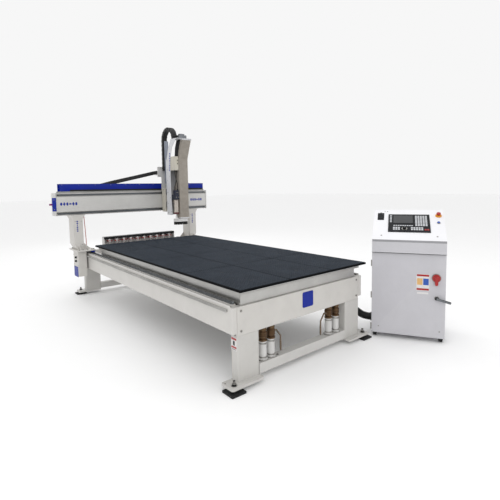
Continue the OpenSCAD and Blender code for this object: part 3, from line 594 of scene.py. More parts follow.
for x, y in ((1228, 3098), (1200, 3128)):
    ends.turned((x, y, 1532), UP, [(10, 0), (10, 8), (7.5, 9), (7.5, 20), (6.2, 22)], 12)
ends.done("Spindle_hose_glands", "z_slide", "black", 0.4)


# ---- Bed ----
def frange(lo, hi, step):
    return [lo + step * i for i in range(int((hi - lo) / step) + 1)]


def circle(centre, r, n, start=0.0):
    """Points around a centre in a plane, each with its angle."""
    return [(centre[0] + r * math.cos(a), centre[1] + r * math.sin(a), a)
            for a in (start + math.tau * k / n for k in range(n))]


STRIPS, BAYS, STRIP_CELLS, BAY_CELLS, MARGIN = 3, 4, 20, 30, 6
plates, pads = Shape(), Shape()
plates.box((0, 0, 778), (TABLE_W, TABLE_L, 793))
for i in range(STRIPS):
    for j in range(BAYS):
        x0, x1 = (TABLE_W / STRIPS * k for k in (i, i + 1))
        y0, y1 = (TABLE_L / BAYS * k for k in (j, j + 1))
        plates.box((x0 + (3 if i else 0), y0 + (2 if j else 0), 792),
                   (x1 - (3 if i < STRIPS - 1 else 0), y1 - (2 if j < BAYS - 1 else 0), 796.5))
        dx, dy = (x1 - x0 - 2 * MARGIN) / STRIP_CELLS, (y1 - y0 - 2 * MARGIN) / BAY_CELLS
        for a in range(STRIP_CELLS):
            for b in range(BAY_CELLS):
                cx, cy = x0 + MARGIN + dx * (a + 0.5), y0 + MARGIN + dy * (b + 0.5)
                pads.skin([[(cx + sx * (dx / 2 - g), cy + sy * (dy / 2 - g), z)
                            for sx, sy in ((-1, -1), (1, -1), (1, 1), (-1, 1))]
                           for g, z in ((3.2, 796.4), (3.8, 799.6), (4.4, 800))])
plates.done("Table_plates", "bed", "plate", 1.2, "plate_black", ("table_top",))
# Grid tops in the lighter grey-blue: painted light on the black laminate.
pads.done("Table_pads", "bed", "pad", 0, "plate_black")
ports = Shape()
for x in (266, 800, 1334):
    for y in frange(200, 3100, 402.5):
        ports.turned((x, y, 799), UP, [(17, 0), (17, 1), (14, 1), (13, 0.1)], 20)
ports.done("Vacuum_ports", "bed", "rubber", 0)

strips, plugs, teeth = Shape(), Shape(), Shape()
for left in (True, False):
    def across(x0, x1, left=left):
        return (x0, x1) if left else (TABLE_W - x1, TABLE_W - x0)
    # Dark strips on each side of the Y rails: painted shade in the gaps beside the rails.
    for x0, x1, z in ((-16.8, 4.8, 653), (55.2, 69.8, 652)):
        a, b = across(x0, x1)
        strips.box((a, 120, 650.2), (b, 3815, z))
    for y in frange(160, 3780, 60):
        plugs.turned((across(30, 30)[0], y, 681.6), UP, [(6.5, 0), (6.5, 0.6), (5.6, 0.6), (5.2, 0.2)], 12)
    a, b = across(-41, -25)
    teeth.box((a, 130, 612), (b, 3805, 632))
    root, tip = (-41, -45) if left else (TABLE_W + 41, TABLE_W + 45)
    for y in frange(133, 3802, RACK_PITCH):
        teeth.skin([[(root, y - 3.1, z), (tip, y - 1.2, z), (tip, y + 1.2, z), (root, y + 3.1, z)]
                    for z in (612, 632)])
corners = Shape()
for x in (-25, TABLE_W - 20):
    for y in (71, 2 * BED_MID_Y - 101):
        corners.box((x, y, 440.5), (x + 45, y + 30, 650))
corners.done("Beam_corners", "bed", "paint", 4)
strips.done("Rail_side_shade_strips", "bed", "dark_and_shade", 0.5)
plugs.done("Rail_plugs", "bed", "dark_and_shade", 0)
teeth.done("Bed_racks", "bed", "rack", 0, "rack_steel", ("y_racks",))

bolts = Shape()
THREAD = [(10.6 if k % 2 else 9.8, k * 1.3) for k in range(18)] + [(8.5, 23.9)]
for x, y in ((-30, 55), (1630, 55), (-30, 3880), (1630, 3880)):
    bolts.turned((x, y, 71.1), UP, [(19, 0), (19, 1.5), (17.5, 1.6), (17.5, 3), (16, 3.2)], 6)
    bolts.turned((x, y, 71), UP, THREAD, 16)
    bolts.turned((x, y, 55.1), UP, [(24, 0), (24, 2.2), (11, 2.2)], 24)
for y in both_ends(67):
    s = -1 if y < BED_MID_Y else 1
    for x in (60, 1540):
        for z in (455, 615):
            bolts.screw((x, y - 3 * s, z), (0, s, 0), 7)
for y in (100.2, 3834.8):
    for x in (TABLE_W / 2 - 330, TABLE_W / 2 + 330):
        bolts.hex_bolt((x, y, 140), UP, 8)
bolts.done("Bed_bolts", "bed", "steel", 0.5)

badge = Shape().slab([(749, 500), (759, 490), (879, 490), (889, 500), (889, 620), (879, 630), (759, 630), (749, 620)],
                     68, 70.2, 1)
badge.done("Front_badge", "bed", "blue", 0.6)
for finish, blocks in (("label", [((19.3, 80, 300), (20.1, 150, 405))]),
                       ("red", [((18.9, 83, 384), (20, 147, 400)), ((18.9, 83, 318), (20, 147, 332))]),
                       ("black", [((18.9, 104, 340), (20, 126, 376)), ((18.9, 90, 306), (20, 140, 311))])):
    shape = Shape()
    for lo, hi in blocks:
        shape.box(lo, hi).box((TABLE_W - hi[0], *lo[1:]), (TABLE_W - lo[0], *hi[1:]))
    shape.done("Leg_label_" + finish, "bed", finish, 0)

# Aluminium edge sections of the table, with their slots, and the frame's cross members below
edge, ribs = Shape(), Shape()
EDGE_SLOTS = ((741, 751), (756, 764), (769, 777.5))
for left in (True, False):
    sgn, x = (1, 40) if left else (-1, 1560)
    for z0, z1 in EDGE_SLOTS:
        a, b = sorted((x, x - sgn * 2.5))
        edge.box((a, 60, z0), (b, 3195, z1))
    a, b = sorted((70 if left else 1530, 66 if left else 1534))
    edge.box((a, 95, 652), (b, 3185, 672))
    edge.box((a, 95, 700), (b, 3185, 739))
for z0, z1 in EDGE_SLOTS:
    edge.box((45, 52.5, z0), (1555, 55, z1))
edge.done("Table_edge_sections", "bed", "alu", 0.8)
for y in frange(300, 3000, 450):
    for x in (100, 580, 1060):
        ribs.slab([(y, 740), (y, 660), (y + 6, 654), (y + 44, 654), (y + 50, 660), (y + 50, 740)], x, x + 440, 0)
ribs.done("Table_ribs", "bed", "alu", 1)

# Vacuum pipes and valves: clamps, nuts and stems
PIPES, PIPE_Y, VALVE_Z = (318, 410, 1160, 1267), 118, 353
fittings, clamps = Shape(), Shape()
for i, x in enumerate(PIPES):
    for z, profile, sides in ((300, [(39, 0), (40, 2), (40, 11), (38, 13)], 6),
                              (392, [(37, 0), (38, 2), (38, 12), (36, 14)], 6),
                              (331, [(36.5, 0), (37.6, 2), (37.6, 5), (36.5, 7)], 32),
                              (368, [(36.5, 0), (37.6, 2), (37.6, 4), (35, 6)], 32)):
        fittings.turned((x, PIPE_Y, z), UP, profile, sides)
    side = -1 if i >= 2 else 1
    fittings.turned((x + side * 30, PIPE_Y, VALVE_Z), (side, 0, 0), [(19, 0), (19, 3), (14, 4), (14, 6.3)], 20)
    for z in (276, 160):
        clamps.turned((x, PIPE_Y, z), UP, [(33.2, 0), (34.6, 1), (34.6, 11), (33.2, 12)], 32)
        clamps.box((x - 7, 78, z + 1), (x + 7, 85, z + 11))
    clamps.turned((x, PIPE_Y, 140), UP, [(46, 0), (47, 1), (47, 7), (45, 9), (34, 10)], 32)
    for u, v, _ in circle((x, PIPE_Y), 40, 4, math.tau / 8):
        clamps.screw((u, v, 149), UP, 3)
fittings.done("Valve_fittings", "bed", "brass", 1)
clamps.done("Pipe_clamps", "bed", "steel", 0.4)
for name, x, s in (("left", PIPES[1], 1), ("right", PIPES[2], -1)):
    grip = Shape()
    grip.turned((x + s * 38, PIPE_Y, VALVE_Z), (s, 0, 0), [(12, 0), (12, 6), (9, 8), (9, 13)], 16)
    grip.tube([(x + s * d, PIPE_Y, z) for d, z in ((112.4, 262), (113, 230), (113.6, 180), (114, 166))],
              [7.4, 8.6, 8.6, 7.4], 16)
    grip.done("Valve_grip_" + name, "valve_lever_" + name, "handle", 0.5)

# Tool rack: a black top strip, tool holders with grooves, and bolts
top = Shape().box((130.5, 3236.5, 866), (1224.5, 3241, 892.5)).box((131, 3239, 892.5), (1224, 3317, 894.2))
for x in frange(180, 1200, 105):
    top.turned((x, 3300, 894), UP, [(5, 0), (5, 1.6), (3.4, 2)], 12)
top.done("Tool_rack_strip", "bed", "black", 0.6)
HOLDER = [(11, 0), (16, 1.5), (17, 3), (17, 9), (16.2, 10), (16.2, 22), (17, 24), (19, 26.5), (20, 27.5),
          (26, 50), (26, 51.5), (22, 52), (22, 62.5), (26, 63), (27, 64), (27, 69), (25, 70.5), (20.5, 71),
          (12.5, 97), (9, 97.5), (9, 99.5), (6.5, 100)]
HOLDER_COUNT, HOLDER_X0, HOLDER_Y, HOLDER_PITCH = 10, 160, 3262, 103.5
holders, nuts = Shape(), Shape()
for i in range(HOLDER_COUNT):
    x, y = HOLDER_X0 + HOLDER_PITCH * (i + 0.5), HOLDER_Y
    holders.turned((x, y, 780), UP, HOLDER, 32)
    for u, v, _ in circle((x, y), 17, 8):
        nuts.turned((u, v, 783.5), UP, [(1.8, 0), (1.8, 5.5)], 8)
holders.done("Tool_holders", "bed", "tool", 0.3, "holder_steel", ("tool_holders",))
nuts.done("Collet_nut_ribs", "bed", "tool", 0)

# ---- Gantry ----
def marks(shape, at, along, across, out, size, tall=1.0, pattern="oxo-xo"):
    """A row of small plain shapes: dots, diamonds and bars."""
    at, along, across, out = (Vector(v) for v in (at, along, across, out))
    for i, kind in enumerate(pattern):
        c = at + along * size * 1.5 * i
        n, w, h = {"o": (12, 0.55, 0.8), "x": (4, 0.66, 1.0), "-": (4, 0.8, 0.5)}[kind]
        turn = math.pi / 4 if kind == "-" else 0
        ring = [c + along * size * w * math.cos(a + turn) + across * size * h * tall * math.sin(a + turn)
                for a in (math.tau * k / n for k in range(n))]
        shape.skin([ring, [p + out * 0.5 for p in ring]])


blue_marks = Shape()
for x in (-335, 1705):
    marks(blue_marks, (x, 3500, 1369), (1, 0, 0), UP, FRONT, 26, 1.1)
for x in (-140, TABLE_W + 118):
    marks(blue_marks, (x, 3499.3, 985), UP, (1, 0, 0), FRONT, 18, 0.8)
blue_marks.done("Gantry_marks", "gantry", "blue", 0)

plates, bolts, dark, blue = Shape(), Shape(), Shape(), Shape()
for left in (True, False):
    def side(x, left=left):
        return x if left else TABLE_W - x
    out = -1 if left else 1
    for y in (3425, 3450, 3745, 3765):
        for x in (-150, -100, -40, 20, 45):
            if not (y > 3440 and y < 3740 and x < -60):
                bolts.hex_bolt((side(x), y, 720), UP, 7)
    for y, z in ((3465, 640), (3660, 640), (3465, 500), (3660, 500), (3465, 365), (3660, 365)):
        bolts.screw((side(-165), y, z), (out, 0, 0), 4.5)
    for y, z in ((3490, 350), (3635, 350), (3490, 465), (3635, 465)):
        bolts.screw((side(-169), y, z), (out, 0, 0), 4)
    for z in (1250, 1480):
        for y in (3540, 3620, 3680):
            bolts.screw((-410 if left else 2010, y, z), (out, 0, 0), 6)
    for z in (560, 612):
        dark.turned((side(-165), 3537, z), (out, 0, 0), [(17, 0), (17, 5), (14, 6), (14, 16), (12, 20), (7, 22)], 20)
    a, b = sorted((side(3), side(57)))
    for y0, y1 in ((3401, 3413), (3767, 3779)):
        blue.box((a, y0, 684), (b, y1, 699.8))
        dark.box((a + 2, y0 + 2, 682.3), (b - 2, y1 - 2, 684))
    a, b = sorted((side(-188), side(-66)))
    plates.box((a, 3498.8, 1196), (b, 3500.5, 1204))
    plates.slab([(side(-72), 1140), (side(-182), 1140), (side(-182), 830), (side(-154), 770), (side(-72), 770)],
                3499.2, 3500.4, 1)
    for z in (790, 1120):
        for x in (-168, -86):
            if not (z == 790 and x == -168):
                bolts.screw((side(x), 3499.2, z), FRONT, 4)
for y in (3538, 3682):
    for x in frange(-380, 1980, 118):
        bolts.screw((x, y, 1210), DOWN, 4)
plates.done("Column_covers", "gantry", "paint", 0.6)
blue.done("Rail_wipers", "gantry", "blue", 1)
for x in frange(-370, 1980, 60):
    for z in (1237, 1493):
        dark.turned((x, 3508.4, z), FRONT, [(6, 0), (6, 0.6), (5, 0.6), (4.8, 0.2)], 10)
# Two black strips along the gap under the blue tray and on its skirt: painted shade of that gap.
dark.box((-255, 3601, 1520.2), (1984, 3606, 1549)).box((-196, 3569, 1546), (1986, 3571, 1564))
dark.done("Gantry_dark_fittings_and_gap_shade", "gantry", "black", 0.4)
for z in (1300, 1430):
    bolts.screw((-425, 3489, z), FRONT, 4)
for x in frange(-300, 1960, 226):
    bolts.screw((x, 3570, 1630), FRONT, 3)
bolts.done("Gantry_bolts", "gantry", "steel", 0.3)

# The beam's extrusion lines beside the rails, and the blue tray's folded rims
lines, rims = Shape(), Shape()
for z in (1264, 1466):
    lines.box((-400, 3498.6, z - 3), (2000, 3500.4, z + 3))
for z in (1213, 1517):
    lines.box((-400, 3527.5, z - 3), (2000, 3530.4, z + 3))
lines.done("Beam_lines", "gantry", "beam", 0.6)
for y in (3570, 3690):
    rims.box((-327, y, 1642.5), (1990, y + 10, 1645))
rims.done("Tray_rims", "gantry", "blue", 0.6)
rack = Shape().box((-380, 3534, 1520.2), (1980, 3550, 1540))
for x in frange(-376, 1976, RACK_PITCH):
    rack.skin([[(x - 3.1, 3534, z), (x - 1.2, 3530, z), (x + 1.2, 3530, z), (x + 3.1, 3534, z)]
               for z in (1520.2, 1540)])
rack.done("Beam_rack", "gantry", "rack", 0, "rack_steel", ("beam_rack",))
knob = Shape().turned((-446, 3518, 1366), (-1, 0, 0), [(12.3, 0), (12.3, 8), (10.5, 10), (10.5, 16), (12.3, 18),
                                                      (12.3, 31), (10.5, 33.9)], 20)
knob.done("Air_fitting", "gantry", "red", 0.5)
motors = Shape()
for x in (PINION_X, TABLE_W - PINION_X):
    motors.turned((x, DRIVE_Y, 362), UP,
                  [(26.3, 0), (26.3, 12), (24, 14), (24, 30), (26.3, 32), (26.3, 44)], 32)
    motors.turned((x, DRIVE_Y, 590), UP, [(36, 0), (36, 3), (30, 5)], 32)
motors.done("Drive_collars", "gantry", "servo", 0.5)


# ---- Energy chains ----
def walk(points, step):
    """Evenly spaced (point, direction) pairs along straight pieces."""
    pts = [Vector(p) for p in points]
    out, over = [], 0.0
    for a, b in zip(pts, pts[1:]):
        d = b - a
        t = over
        while t <= d.length:
            out.append((a + d * (t / d.length), d.normalized()))
            t += step
        over = t - d.length
    return out


LINK = [(-0.6, 0.3), (-0.42, 0.5), (0.42, 0.5), (0.6, 0.3), (0.6, -0.3), (0.42, -0.5), (-0.42, -0.5), (-0.6, -0.3)]


def links(shape, points, across, width, height, pitch=38):
    """Chain links along a path in a plane: two side plates, two cross bars and a pin's rim each."""
    across = Vector(across)
    for i, (c, t) in enumerate(walk(points, pitch)):
        n = across.cross(t)
        for s in (-1, 1):
            lo = s * (width / 2 - (3.5 if i % 2 else 6))
            hi = s * (width / 2 - (0 if i % 2 else 2.5))
            shape.skin([[c + t * (a * pitch) + n * (b * height) + across * w for a, b in LINK] for w in (lo, hi)])
            shape.turned(c + t * (pitch / 2) + across * hi, across * s, [(7, -1), (7, 0), (5, 0.1)], 12)
        for s in (-1, 1):
            shape.skin([[c + t * (a * pitch) + n * (s * height * b) + across * w for a, b in
                         ((-0.46, 0.485), (0.46, 0.485), (0.46, 0.43), (-0.46, 0.43))]
                        for w in (-width / 2 + 3, width / 2 - 3)])
    return shape


def arc(y, z, r, degrees):
    """Points of a bend in a plane, each from its angle."""
    return [(y + r * math.cos(math.radians(d)), z + r * math.sin(math.radians(d))) for d in degrees]


X_CHAIN_Y, X_CHAIN_LOW, Z_CHAIN_X, Z_CHAIN_TOP = 3635, 1554, 1210, 2312
BEND = arc(60, X_CHAIN_LOW + 29.5, 29.5, range(270, 75, -30))
RUN = BEND[1:] + [(180, 1613), (250, 1617), (350, 1644), (456, 1669), (791, 1742), (1100, 1811), (1138, 1818)]
for name, route, start, end, z in (("X_chain_lower", [(900, X_CHAIN_LOW), BEND[0]], 900, -1230, X_CHAIN_LOW),
                                   ("X_chain_upper", RUN[::-1], -630, 1120, 1600)):
    chain = links(Shape(), [(u, X_CHAIN_Y, v) for u, v in route], (0, 1, 0), 66, 54)
    chain = chain.done(name, None, "chain", 0, "chain_black", ("x_chain",))
    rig.blend(chain, "gantry", "head", WORK @ Vector((start, X_CHAIN_Y, z)), WORK @ Vector((end, X_CHAIN_Y, z)))
LOOP = [(3445, 1860)] + arc(3282, Z_CHAIN_TOP, 163, range(0, 181, 12))
chain = links(Shape(), [(Z_CHAIN_X, u, v) for u, v in LOOP], (1, 0, 0), 78, 44, 34)
chain = chain.done("Z_chain", None, "chain", 0, "chain_black", ("z_chain",))
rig.blend(chain, "head", "z_slide", WORK @ Vector((Z_CHAIN_X, 3430, Z_CHAIN_TOP)),
         WORK @ Vector((Z_CHAIN_X, 3125, Z_CHAIN_TOP)))

# ---- Head ----
bolts, trim = Shape(), Shape()
for z in (1215, 1300, 1385, 1470, 1545):
    for x in (1185, 1395):
        bolts.screw((x, 3465, z), FRONT, 6)
for z in (1225, 1330, 1440, 1540):
    bolts.screw((1165, 3430, z), (-1, 0, 0), 5).screw((1415, 3430, z), (1, 0, 0), 5)
for x, z in ((1115, 1765), (1115, 1885), (1150, 1885), (1180, 1880), (1240, 1880), (1180, 1600), (1240, 1600)):
    bolts.screw((x, 3490, z), FRONT, 4)
for z in frange(1680, 2280, 100):
    bolts.screw((1245, 3412, z), FRONT, 3)
for x in (1312, 1388):
    for y in (3460, 3536):
        bolts.screw((x, y, 1650), UP, 4)
bolts.done("Head_bolts", "head", "steel", 0.4)
trim.turned((*X_MOTOR, 1735), UP, [(39, 0), (39, 16), (36, 18), (36, 24), (30, 25.5)], 40)
for x, y, _ in circle(X_MOTOR, 37, 12):
    trim.box((x - 2.5, y - 2.5, 1662), (x + 2.5, y + 2.5, 1725))
trim.turned((1378, 3470, 1745), (1, -1, 0), [(9, -6), (9, 10), (6, 12), (6, 20)], 16)
trim.done("X_motor_trim", "head", "black", 0.6)
ridge = Shape()
for z in frange(1660, 2290, 42):
    ridge.box((1194, 3410.6, z), (1261, 3412.4, z + 6))
ridge.done("Chain_guide_ribs", "head", "guide", 0.4)

# Folded cover of the Z slide: pleats that follow its flared outline
COVER_LOW, COVER_TOP, FLARE_LOW, COVER_X0, COVER_X1 = 1100, 2295, 2010, 1250, 1407
pleats, folds = [], 76
for i in range(folds * 2 + 1):
    z = COVER_LOW + (COVER_TOP - COVER_LOW) * i / (folds * 2)
    t = max(0.0, (z - FLARE_LOW) / (COVER_TOP - FLARE_LOW))
    front, back, inset = 3072 - 117 * t, 3195 - 65 * t * t - 8 * t, 0 if i % 2 else 4.5
    x0, x1 = COVER_X0 + inset, COVER_X1 - inset
    pleats.append([(x0, front + inset, z), (x1, front + inset, z), (x1, back, z), (x0, back, z)])
Shape().skin(pleats).done("Z_cover_pleats", "z_slide", "bellows", 0, "cover_paint", ("z_cover",))
frames, hollow = Shape(), Shape()
for z0, z1, f in ((1098, 1112, 3070), (2283, 2297, 2954)):
    frames.box((COVER_X0 - 3, f, z0), (COVER_X1 + 3, f + 6, z1)).box((COVER_X0 - 3, f, z0), (COVER_X0, 3140, z1))
    frames.box((COVER_X1, f, z0), (COVER_X1 + 3, 3140, z1))
frames.done("Z_cover_frames", "z_slide", "slide", 0.8)
# A dark sheet where the hollow beside the cover lies in shade: painted shade.
hollow.slab([(3090, 2050), (3190, 2050), (3172, 2180), (3120, 2290), (3010, 2290), (3075, 2130)], 1246, 1251, 0)
hollow.done("Cover_hollow_painted_shade", "z_slide", "dark_and_shade", 0.5)
z_bolts, z_marks, dots = Shape(), Shape(), Shape()
for z in (1180, 1330, 1500, 1680, 1850, 2000):
    z_bolts.screw((1165, 3285, z), (-1, 0, 0), 5).screw((1415, 3285, z), (1, 0, 0), 5)
for y, z in ((3180, 1200), (3195, 1420), (3205, 1750)):
    z_bolts.screw((1165, y + 12, z), (-1, 0, 0), 4)
for x in (1268, 1382):
    for y in (3072, 3140):
        z_bolts.screw((x, y, 2366), UP, 4)
for x in (1180, 1240, 1400):
    z_bolts.screw((x, 2990, 2308), UP, 4).screw((x, 3140, 2308), UP, 4)
for x, z in ((1182, 1845), (1240, 1845), (1182, 2035), (1240, 2035)):
    z_bolts.screw((x, 3080, z), FRONT, 3)
for x, y in ((1205, 3086), (1218, 3086), (1230, 3086)):
    z_bolts.turned((x, y, 1500), FRONT, [(5, -1), (5, 4), (3.5, 5)], 10)
for x in (1190, 1234):
    z_bolts.turned((x, 3080, 1425), FRONT, [(9, -1), (9, 9), (6, 10), (6, 16)], 6)
z_bolts.done("Z_bolts", "z_slide", "steel", 0.3)
marks(z_marks, (1165, 3216, 1840), (0, -0.09, 0.99), (0, 1, 0.09), (-1, 0, 0), 24, 0.8, "oxo-xoxo")
z_marks.done("Z_marks", "z_slide", "blue", 0)
for z in (1935, 1985):
    dots.turned((1233, 3090.5, z), FRONT, [(9, -1), (9, 9), (8, 10.4), (4, 8)], 16)
dots.box((1176, 3079, 1380), (1216, 3081, 1384))
dots.done("Box_knockouts", "z_slide", "dark_and_shade", 0.4)
servo = Shape()
for z in frange(2314, 2360, 7):
    servo.box((1256.5, 3066, z), (1393.5, 3146, z + 3.2))
servo.turned((1325, 3106, 2388), UP, [(22, 0), (22, 2.5), (18, 3.5)], 32)
servo.turned((1372, 3076, 2345), FRONT, [(13, -4), (13, 12), (10, 13), (10, 18)], 16)
servo.done("Z_servo_ribs", "z_slide", "servo", 0.5)
band = Shape().turned((*CYLINDER, 1171), UP, [(36.4, 0), (38, 1), (38, 21), (36.4, 22)], 40)
band.done("Cylinder_band", "z_slide", "maroon", 0.4)
rings = Shape()
for z in (1150, 1165, 1180, 1195, 1210):
    rings.turned((*SPINDLE, z), UP, [(38, 0), (39.2, 1.5), (39.2, 6), (38, 7.5)], 48)
for z in (1200, 1366):
    rings.turned((*CYLINDER, z), UP, [(36, 0), (38.5, 1), (38.5, 10), (37, 12)], 40)
for z in (1205, 1345):
    rings.turned((1212, 3085, z), FRONT, [(8, -3), (8, 3), (5, 4), (5, 9)], 12)
rings.done("Spindle_rings", "z_slide", "spindle", 0.4)


def oval(cx, cy, hw, hd, r, n=10):
    """A rounded rectangle as points, corner by corner."""
    return [(cx + sx * (hw - r) + r * math.cos(a), cy + sy * (hd - r) + r * math.sin(a))
            for sx, sy, q in ((1, 1, 0), (-1, 1, 90), (-1, -1, 180), (1, -1, 270))
            for a in (math.radians(q + 90 * i / n) for i in range(n + 1))]


def square(x, y, half, z):
    return [(x + sx * half, y + sy * half, z) for sx, sy in ((-1, -1), (1, -1), (1, 1), (-1, 1))]


outline = [Vector(p) for p in oval(*SHOE, 105, 64, 60)]
rim = Shape()
for z in (1050.5, 1088):
    rim.skin([[(x, y, z + dz) for x, y in oval(*SHOE, 111.6 + k, 70.6 + k, 66)]
              for k, dz in ((0, 0), (1.2, 1), (1.2, 5), (0, 6))])
rim.turned((*CYLINDER, 1091), UP, [(24, 0), (24, 6), (16, 8), (16, 20)], 24)
rim.turned((*SPINDLE, 1091.5), UP, [(60, 0), (60, 2), (54, 3)], 40)
rim.done("Dust_shoe_rims", "dust_shoe", "shoe", 0.4)
bristles, TUFT_GAP = Shape(), 3.6
for a, b in zip(outline, outline[1:] + outline[:1]):
    tufts = max(1, round((b - a).length / TUFT_GAP))
    for k in range(tufts):
        for row in (-4.4, 0.2):
            p = a + (b - a) * ((k + rng.random() * 0.6) / tufts)
            away = (p - Vector(SHOE)).normalized()
            p = p + away * row
            q = p + Vector((rng.uniform(-1.5, 1.5), rng.uniform(-1.5, 1.5))) + away * 0.6
            z = 1003.2 + rng.random() * 3
            bristles.skin([square(*p, 1.1, 1053), square(*q, 0.7, z)])
bristles.done("Dust_brush_bristles", "dust_shoe", "bristle", 0, "brush_black", ("dust_brush",))
nose = Shape()
nose.turned((*SPINDLE, 1062), UP, [(21.5, 0), (23, 1.5), (26, 9), (24.5, 10)], 32)
for x, y, _ in circle(SPINDLE, 27, 6):
    nose.turned((x, y, 1095.5), DOWN, [(3, 0), (3, 1.6), (2, 2)], 8)
FLUTE_R, FLUTE_RISE, FLUTE_STEP = 6.2, 2.4, 0.3
nose.tube([(SPINDLE[0] + FLUTE_R * math.cos(a), SPINDLE[1] + FLUTE_R * math.sin(a), 1021 + a * FLUTE_RISE)
           for a in (i * FLUTE_STEP for i in range(40))], 0.9, 6)
nose.done("Spindle_nut", "spindle", "chrome", 0.2)

# ---- Cabinet ----
seams, dark, hinge = Shape(CABINET), Shape(CABINET), Shape(CABINET)
for x in (0.5, 675.5):
    dark.box((x, 18.2, 49), (x + 14, 21, 884))
for z in (49, 870):
    dark.box((0.5, 18.2, z), (689.5, 21, z + 14))
dark.box((0, -24, 886), (690, 19, 888.8))
for i in range(14):
    for z in (150, 560):
        seams.slab([(500, z + i * 14), (508, z + i * 14 + 1), (500, z + i * 14 + 7)], 220, 470, 0)
        # Dark strips between the louvre slats: painted shade of the openings.
        dark.box((222, 498.5, z + i * 14 + 7), (468, 500.4, z + i * 14 + 11))
seams.done("Cabinet_louvres", "bed", "cabinet", 0.4)
dark.done("Cabinet_gaskets_and_louvre_shade", "bed", "dark_and_shade", 0)
# The console's front lip in the cabinet grey over its white paint: painted shade of the front-facing lip. The band
# above it is a painted shadow under the rounded front edge.
Shape(CABINET).box((3, -25.3, 892), (687, -24.5, 994)).done("Console_lip_painted_shade", "bed", "cabinet", 0.2)
Shape(CABINET).box((3, -25.35, 995), (687, -24.5, 1018)).done("Console_edge_shadow_band", "bed", "trim", 0.2)
for z in (110, 440, 770):
    hinge.turned((-3, 2, z - 32), UP, [(6.3, 0), (6.3, 20), (5, 20.5), (5, 21.5), (6.3, 22), (6.3, 64)], 16)
hinge.done("Door_hinges", "door", "steel", 0.3)
door = Shape(CABINET)
for x, z in ((70, 117), (640, 117)):
    door.turned((x, 0, z), FRONT, [(7, 0), (7, 1.6), (5, 2.4), (2, 2.4)], 16)
door.turned((DOOR_LEVER[0], 0, DOOR_LEVER[1]), FRONT, [(22, 0), (22, 1), (19, 2), (17.5, 2)], 32)
door.turned((MAIN_SWITCH[0], 0, MAIN_SWITCH[1]), FRONT, [(44, 0), (44, 0.6), (42, 0.9), (38.5, 0.9)], 40)
door.done("Door_rosettes", "door", "steel", 0.3)
for finish, blocks in (("label", [((424, -0.7, 517), (542, 0.2, 683)), ((432, -0.7, 484), (534, 0.2, 502))]),
                       ("red", [((427, -1, 660), (539, 0, 680)), ((427, -1, 521), (539, 0, 541))]),
                       ("amber", [((430, -1, 575), (480, 0, 640))]), ("button", [((486, -1, 575), (536, 0, 640))])):
    label = Shape(CABINET)
    for lo, hi in blocks:
        label.box(lo, hi)
    label.done("Door_label_" + finish, "door", finish, 0)
lever = Shape(CABINET)
lever.turned((DOOR_LEVER[0], -1.5, DOOR_LEVER[1]), FRONT, [(18, 0), (18, 8), (14, 13), (12, 24.8)], 32)
lever.tube([(606, -31, 450), (640, -31.5, 441), (690, -31.5, 428.5), (731, -31, 418), (735, -31, 417)],
           [12, 11.5, 9.5, 7.5, 4], 16)
lever.done("Door_lever_grip", "door_lever", "rail", 0.6)
switch = Shape(CABINET)
for x, z, _ in circle(MAIN_SWITCH, 36.6, 24):
    switch.turned((x, -1.5, z), FRONT, [(1.8, 0), (1.8, 13)], 8)
switch.slab([(593, 582), (615, 582), (619, 600), (617, 672), (591, 672), (589, 600)], -33, -16, 1)
switch.done("Main_switch_grip", "main_switch", "red", 1.6)

desk_dark, keys, desk_steel = Shape(DESK), Shape(DESK), Shape(DESK)
for x, y in ((88, 66), (608, 66), (72, 470)):
    desk_steel.turned((x, y, 0), UP, [(8, 0), (8, 1), (6.5, 3), (3, 3.6)], 20)
desk_steel.turned((*KNOB, 6), UP, [(27, 0), (27, 0.6), (20, 0.8)], 32)
for y in (0.5, 1.5):
    desk_steel.turned((100 + 25 * y, 495, 0), UP, [(6, 0), (6, 1), (4, 1.6)], 12)
desk_steel.done("Desk_screws", "bed", "steel", 0.3)
for k in range(11):
    a = math.radians(-140 + 28 * k) + math.pi / 2
    x, y = KNOB[0] + 31 * math.cos(a), KNOB[1] + 31 * math.sin(a)
    keys.box((x - 1, y - 1, 5.9), (x + 1, y + 1, 6.6))
KEY_GAP = 24
for i in range(5):
    for j in range(8):
        keys.box((413 + KEY_GAP * i, 229 + 23.4 * j, 5.5), (431 + KEY_GAP * i, 246 + 23.4 * j, 8))
for i in range(9):
    keys.box((202 + 21.5 * i, 226, 5.5), (218 + 21.5 * i, 239, 7.8))
for i in range(5):
    keys.box((166, 290 + 27 * i, 5.5), (184, 306 + 27 * i, 7.8))
for x0, n in ((198, 3), (370, 5)):
    for i in range(n):
        for j in range(2):
            keys.box((x0 + KEY_GAP * i, 158 + 27 * j, 5.5), (x0 + 18 + KEY_GAP * i, 178 + 27 * j, 8))
keys.done("Panel_keys", "bed", "key", 0.7)
red_keys = Shape(DESK)
for i in range(2):
    red_keys.box((497 + KEY_GAP * i, 158, 5.5), (515 + KEY_GAP * i, 178, 8.2))
red_keys.done("Panel_red_keys", "bed", "red", 0.7)
for x0, y0, x1, y1, z0, z1 in ((194, 271, 397, 428, 5.9, 8), (40, 336, 105, 459, 0.2, 5)):
    desk_dark.box((x0, y0, z0), (x1, y0 + 6, z1)).box((x0, y1 - 6, z0), (x1, y1, z1))
    desk_dark.box((x0, y0 + 6, z0), (x0 + 6, y1 - 6, z1)).box((x1 - 6, y0 + 6, z0), (x1, y1 - 6, z1))
desk_dark.done("Desk_bezels", "bed", "panel", 0.8)
Shape(DESK).box((200.3, 277.3, 3.5), (390.7, 421.7, 5.2)).done("Display", "bed", "screen", 0.5)
base = Shape(DESK).turned((*STOP, 0), UP, [(31, 0), (31, 2), (29, 10), (24, 14), (14, 15)], 40)
base.done("Stop_button_base", "bed", "yellow", 0.5)
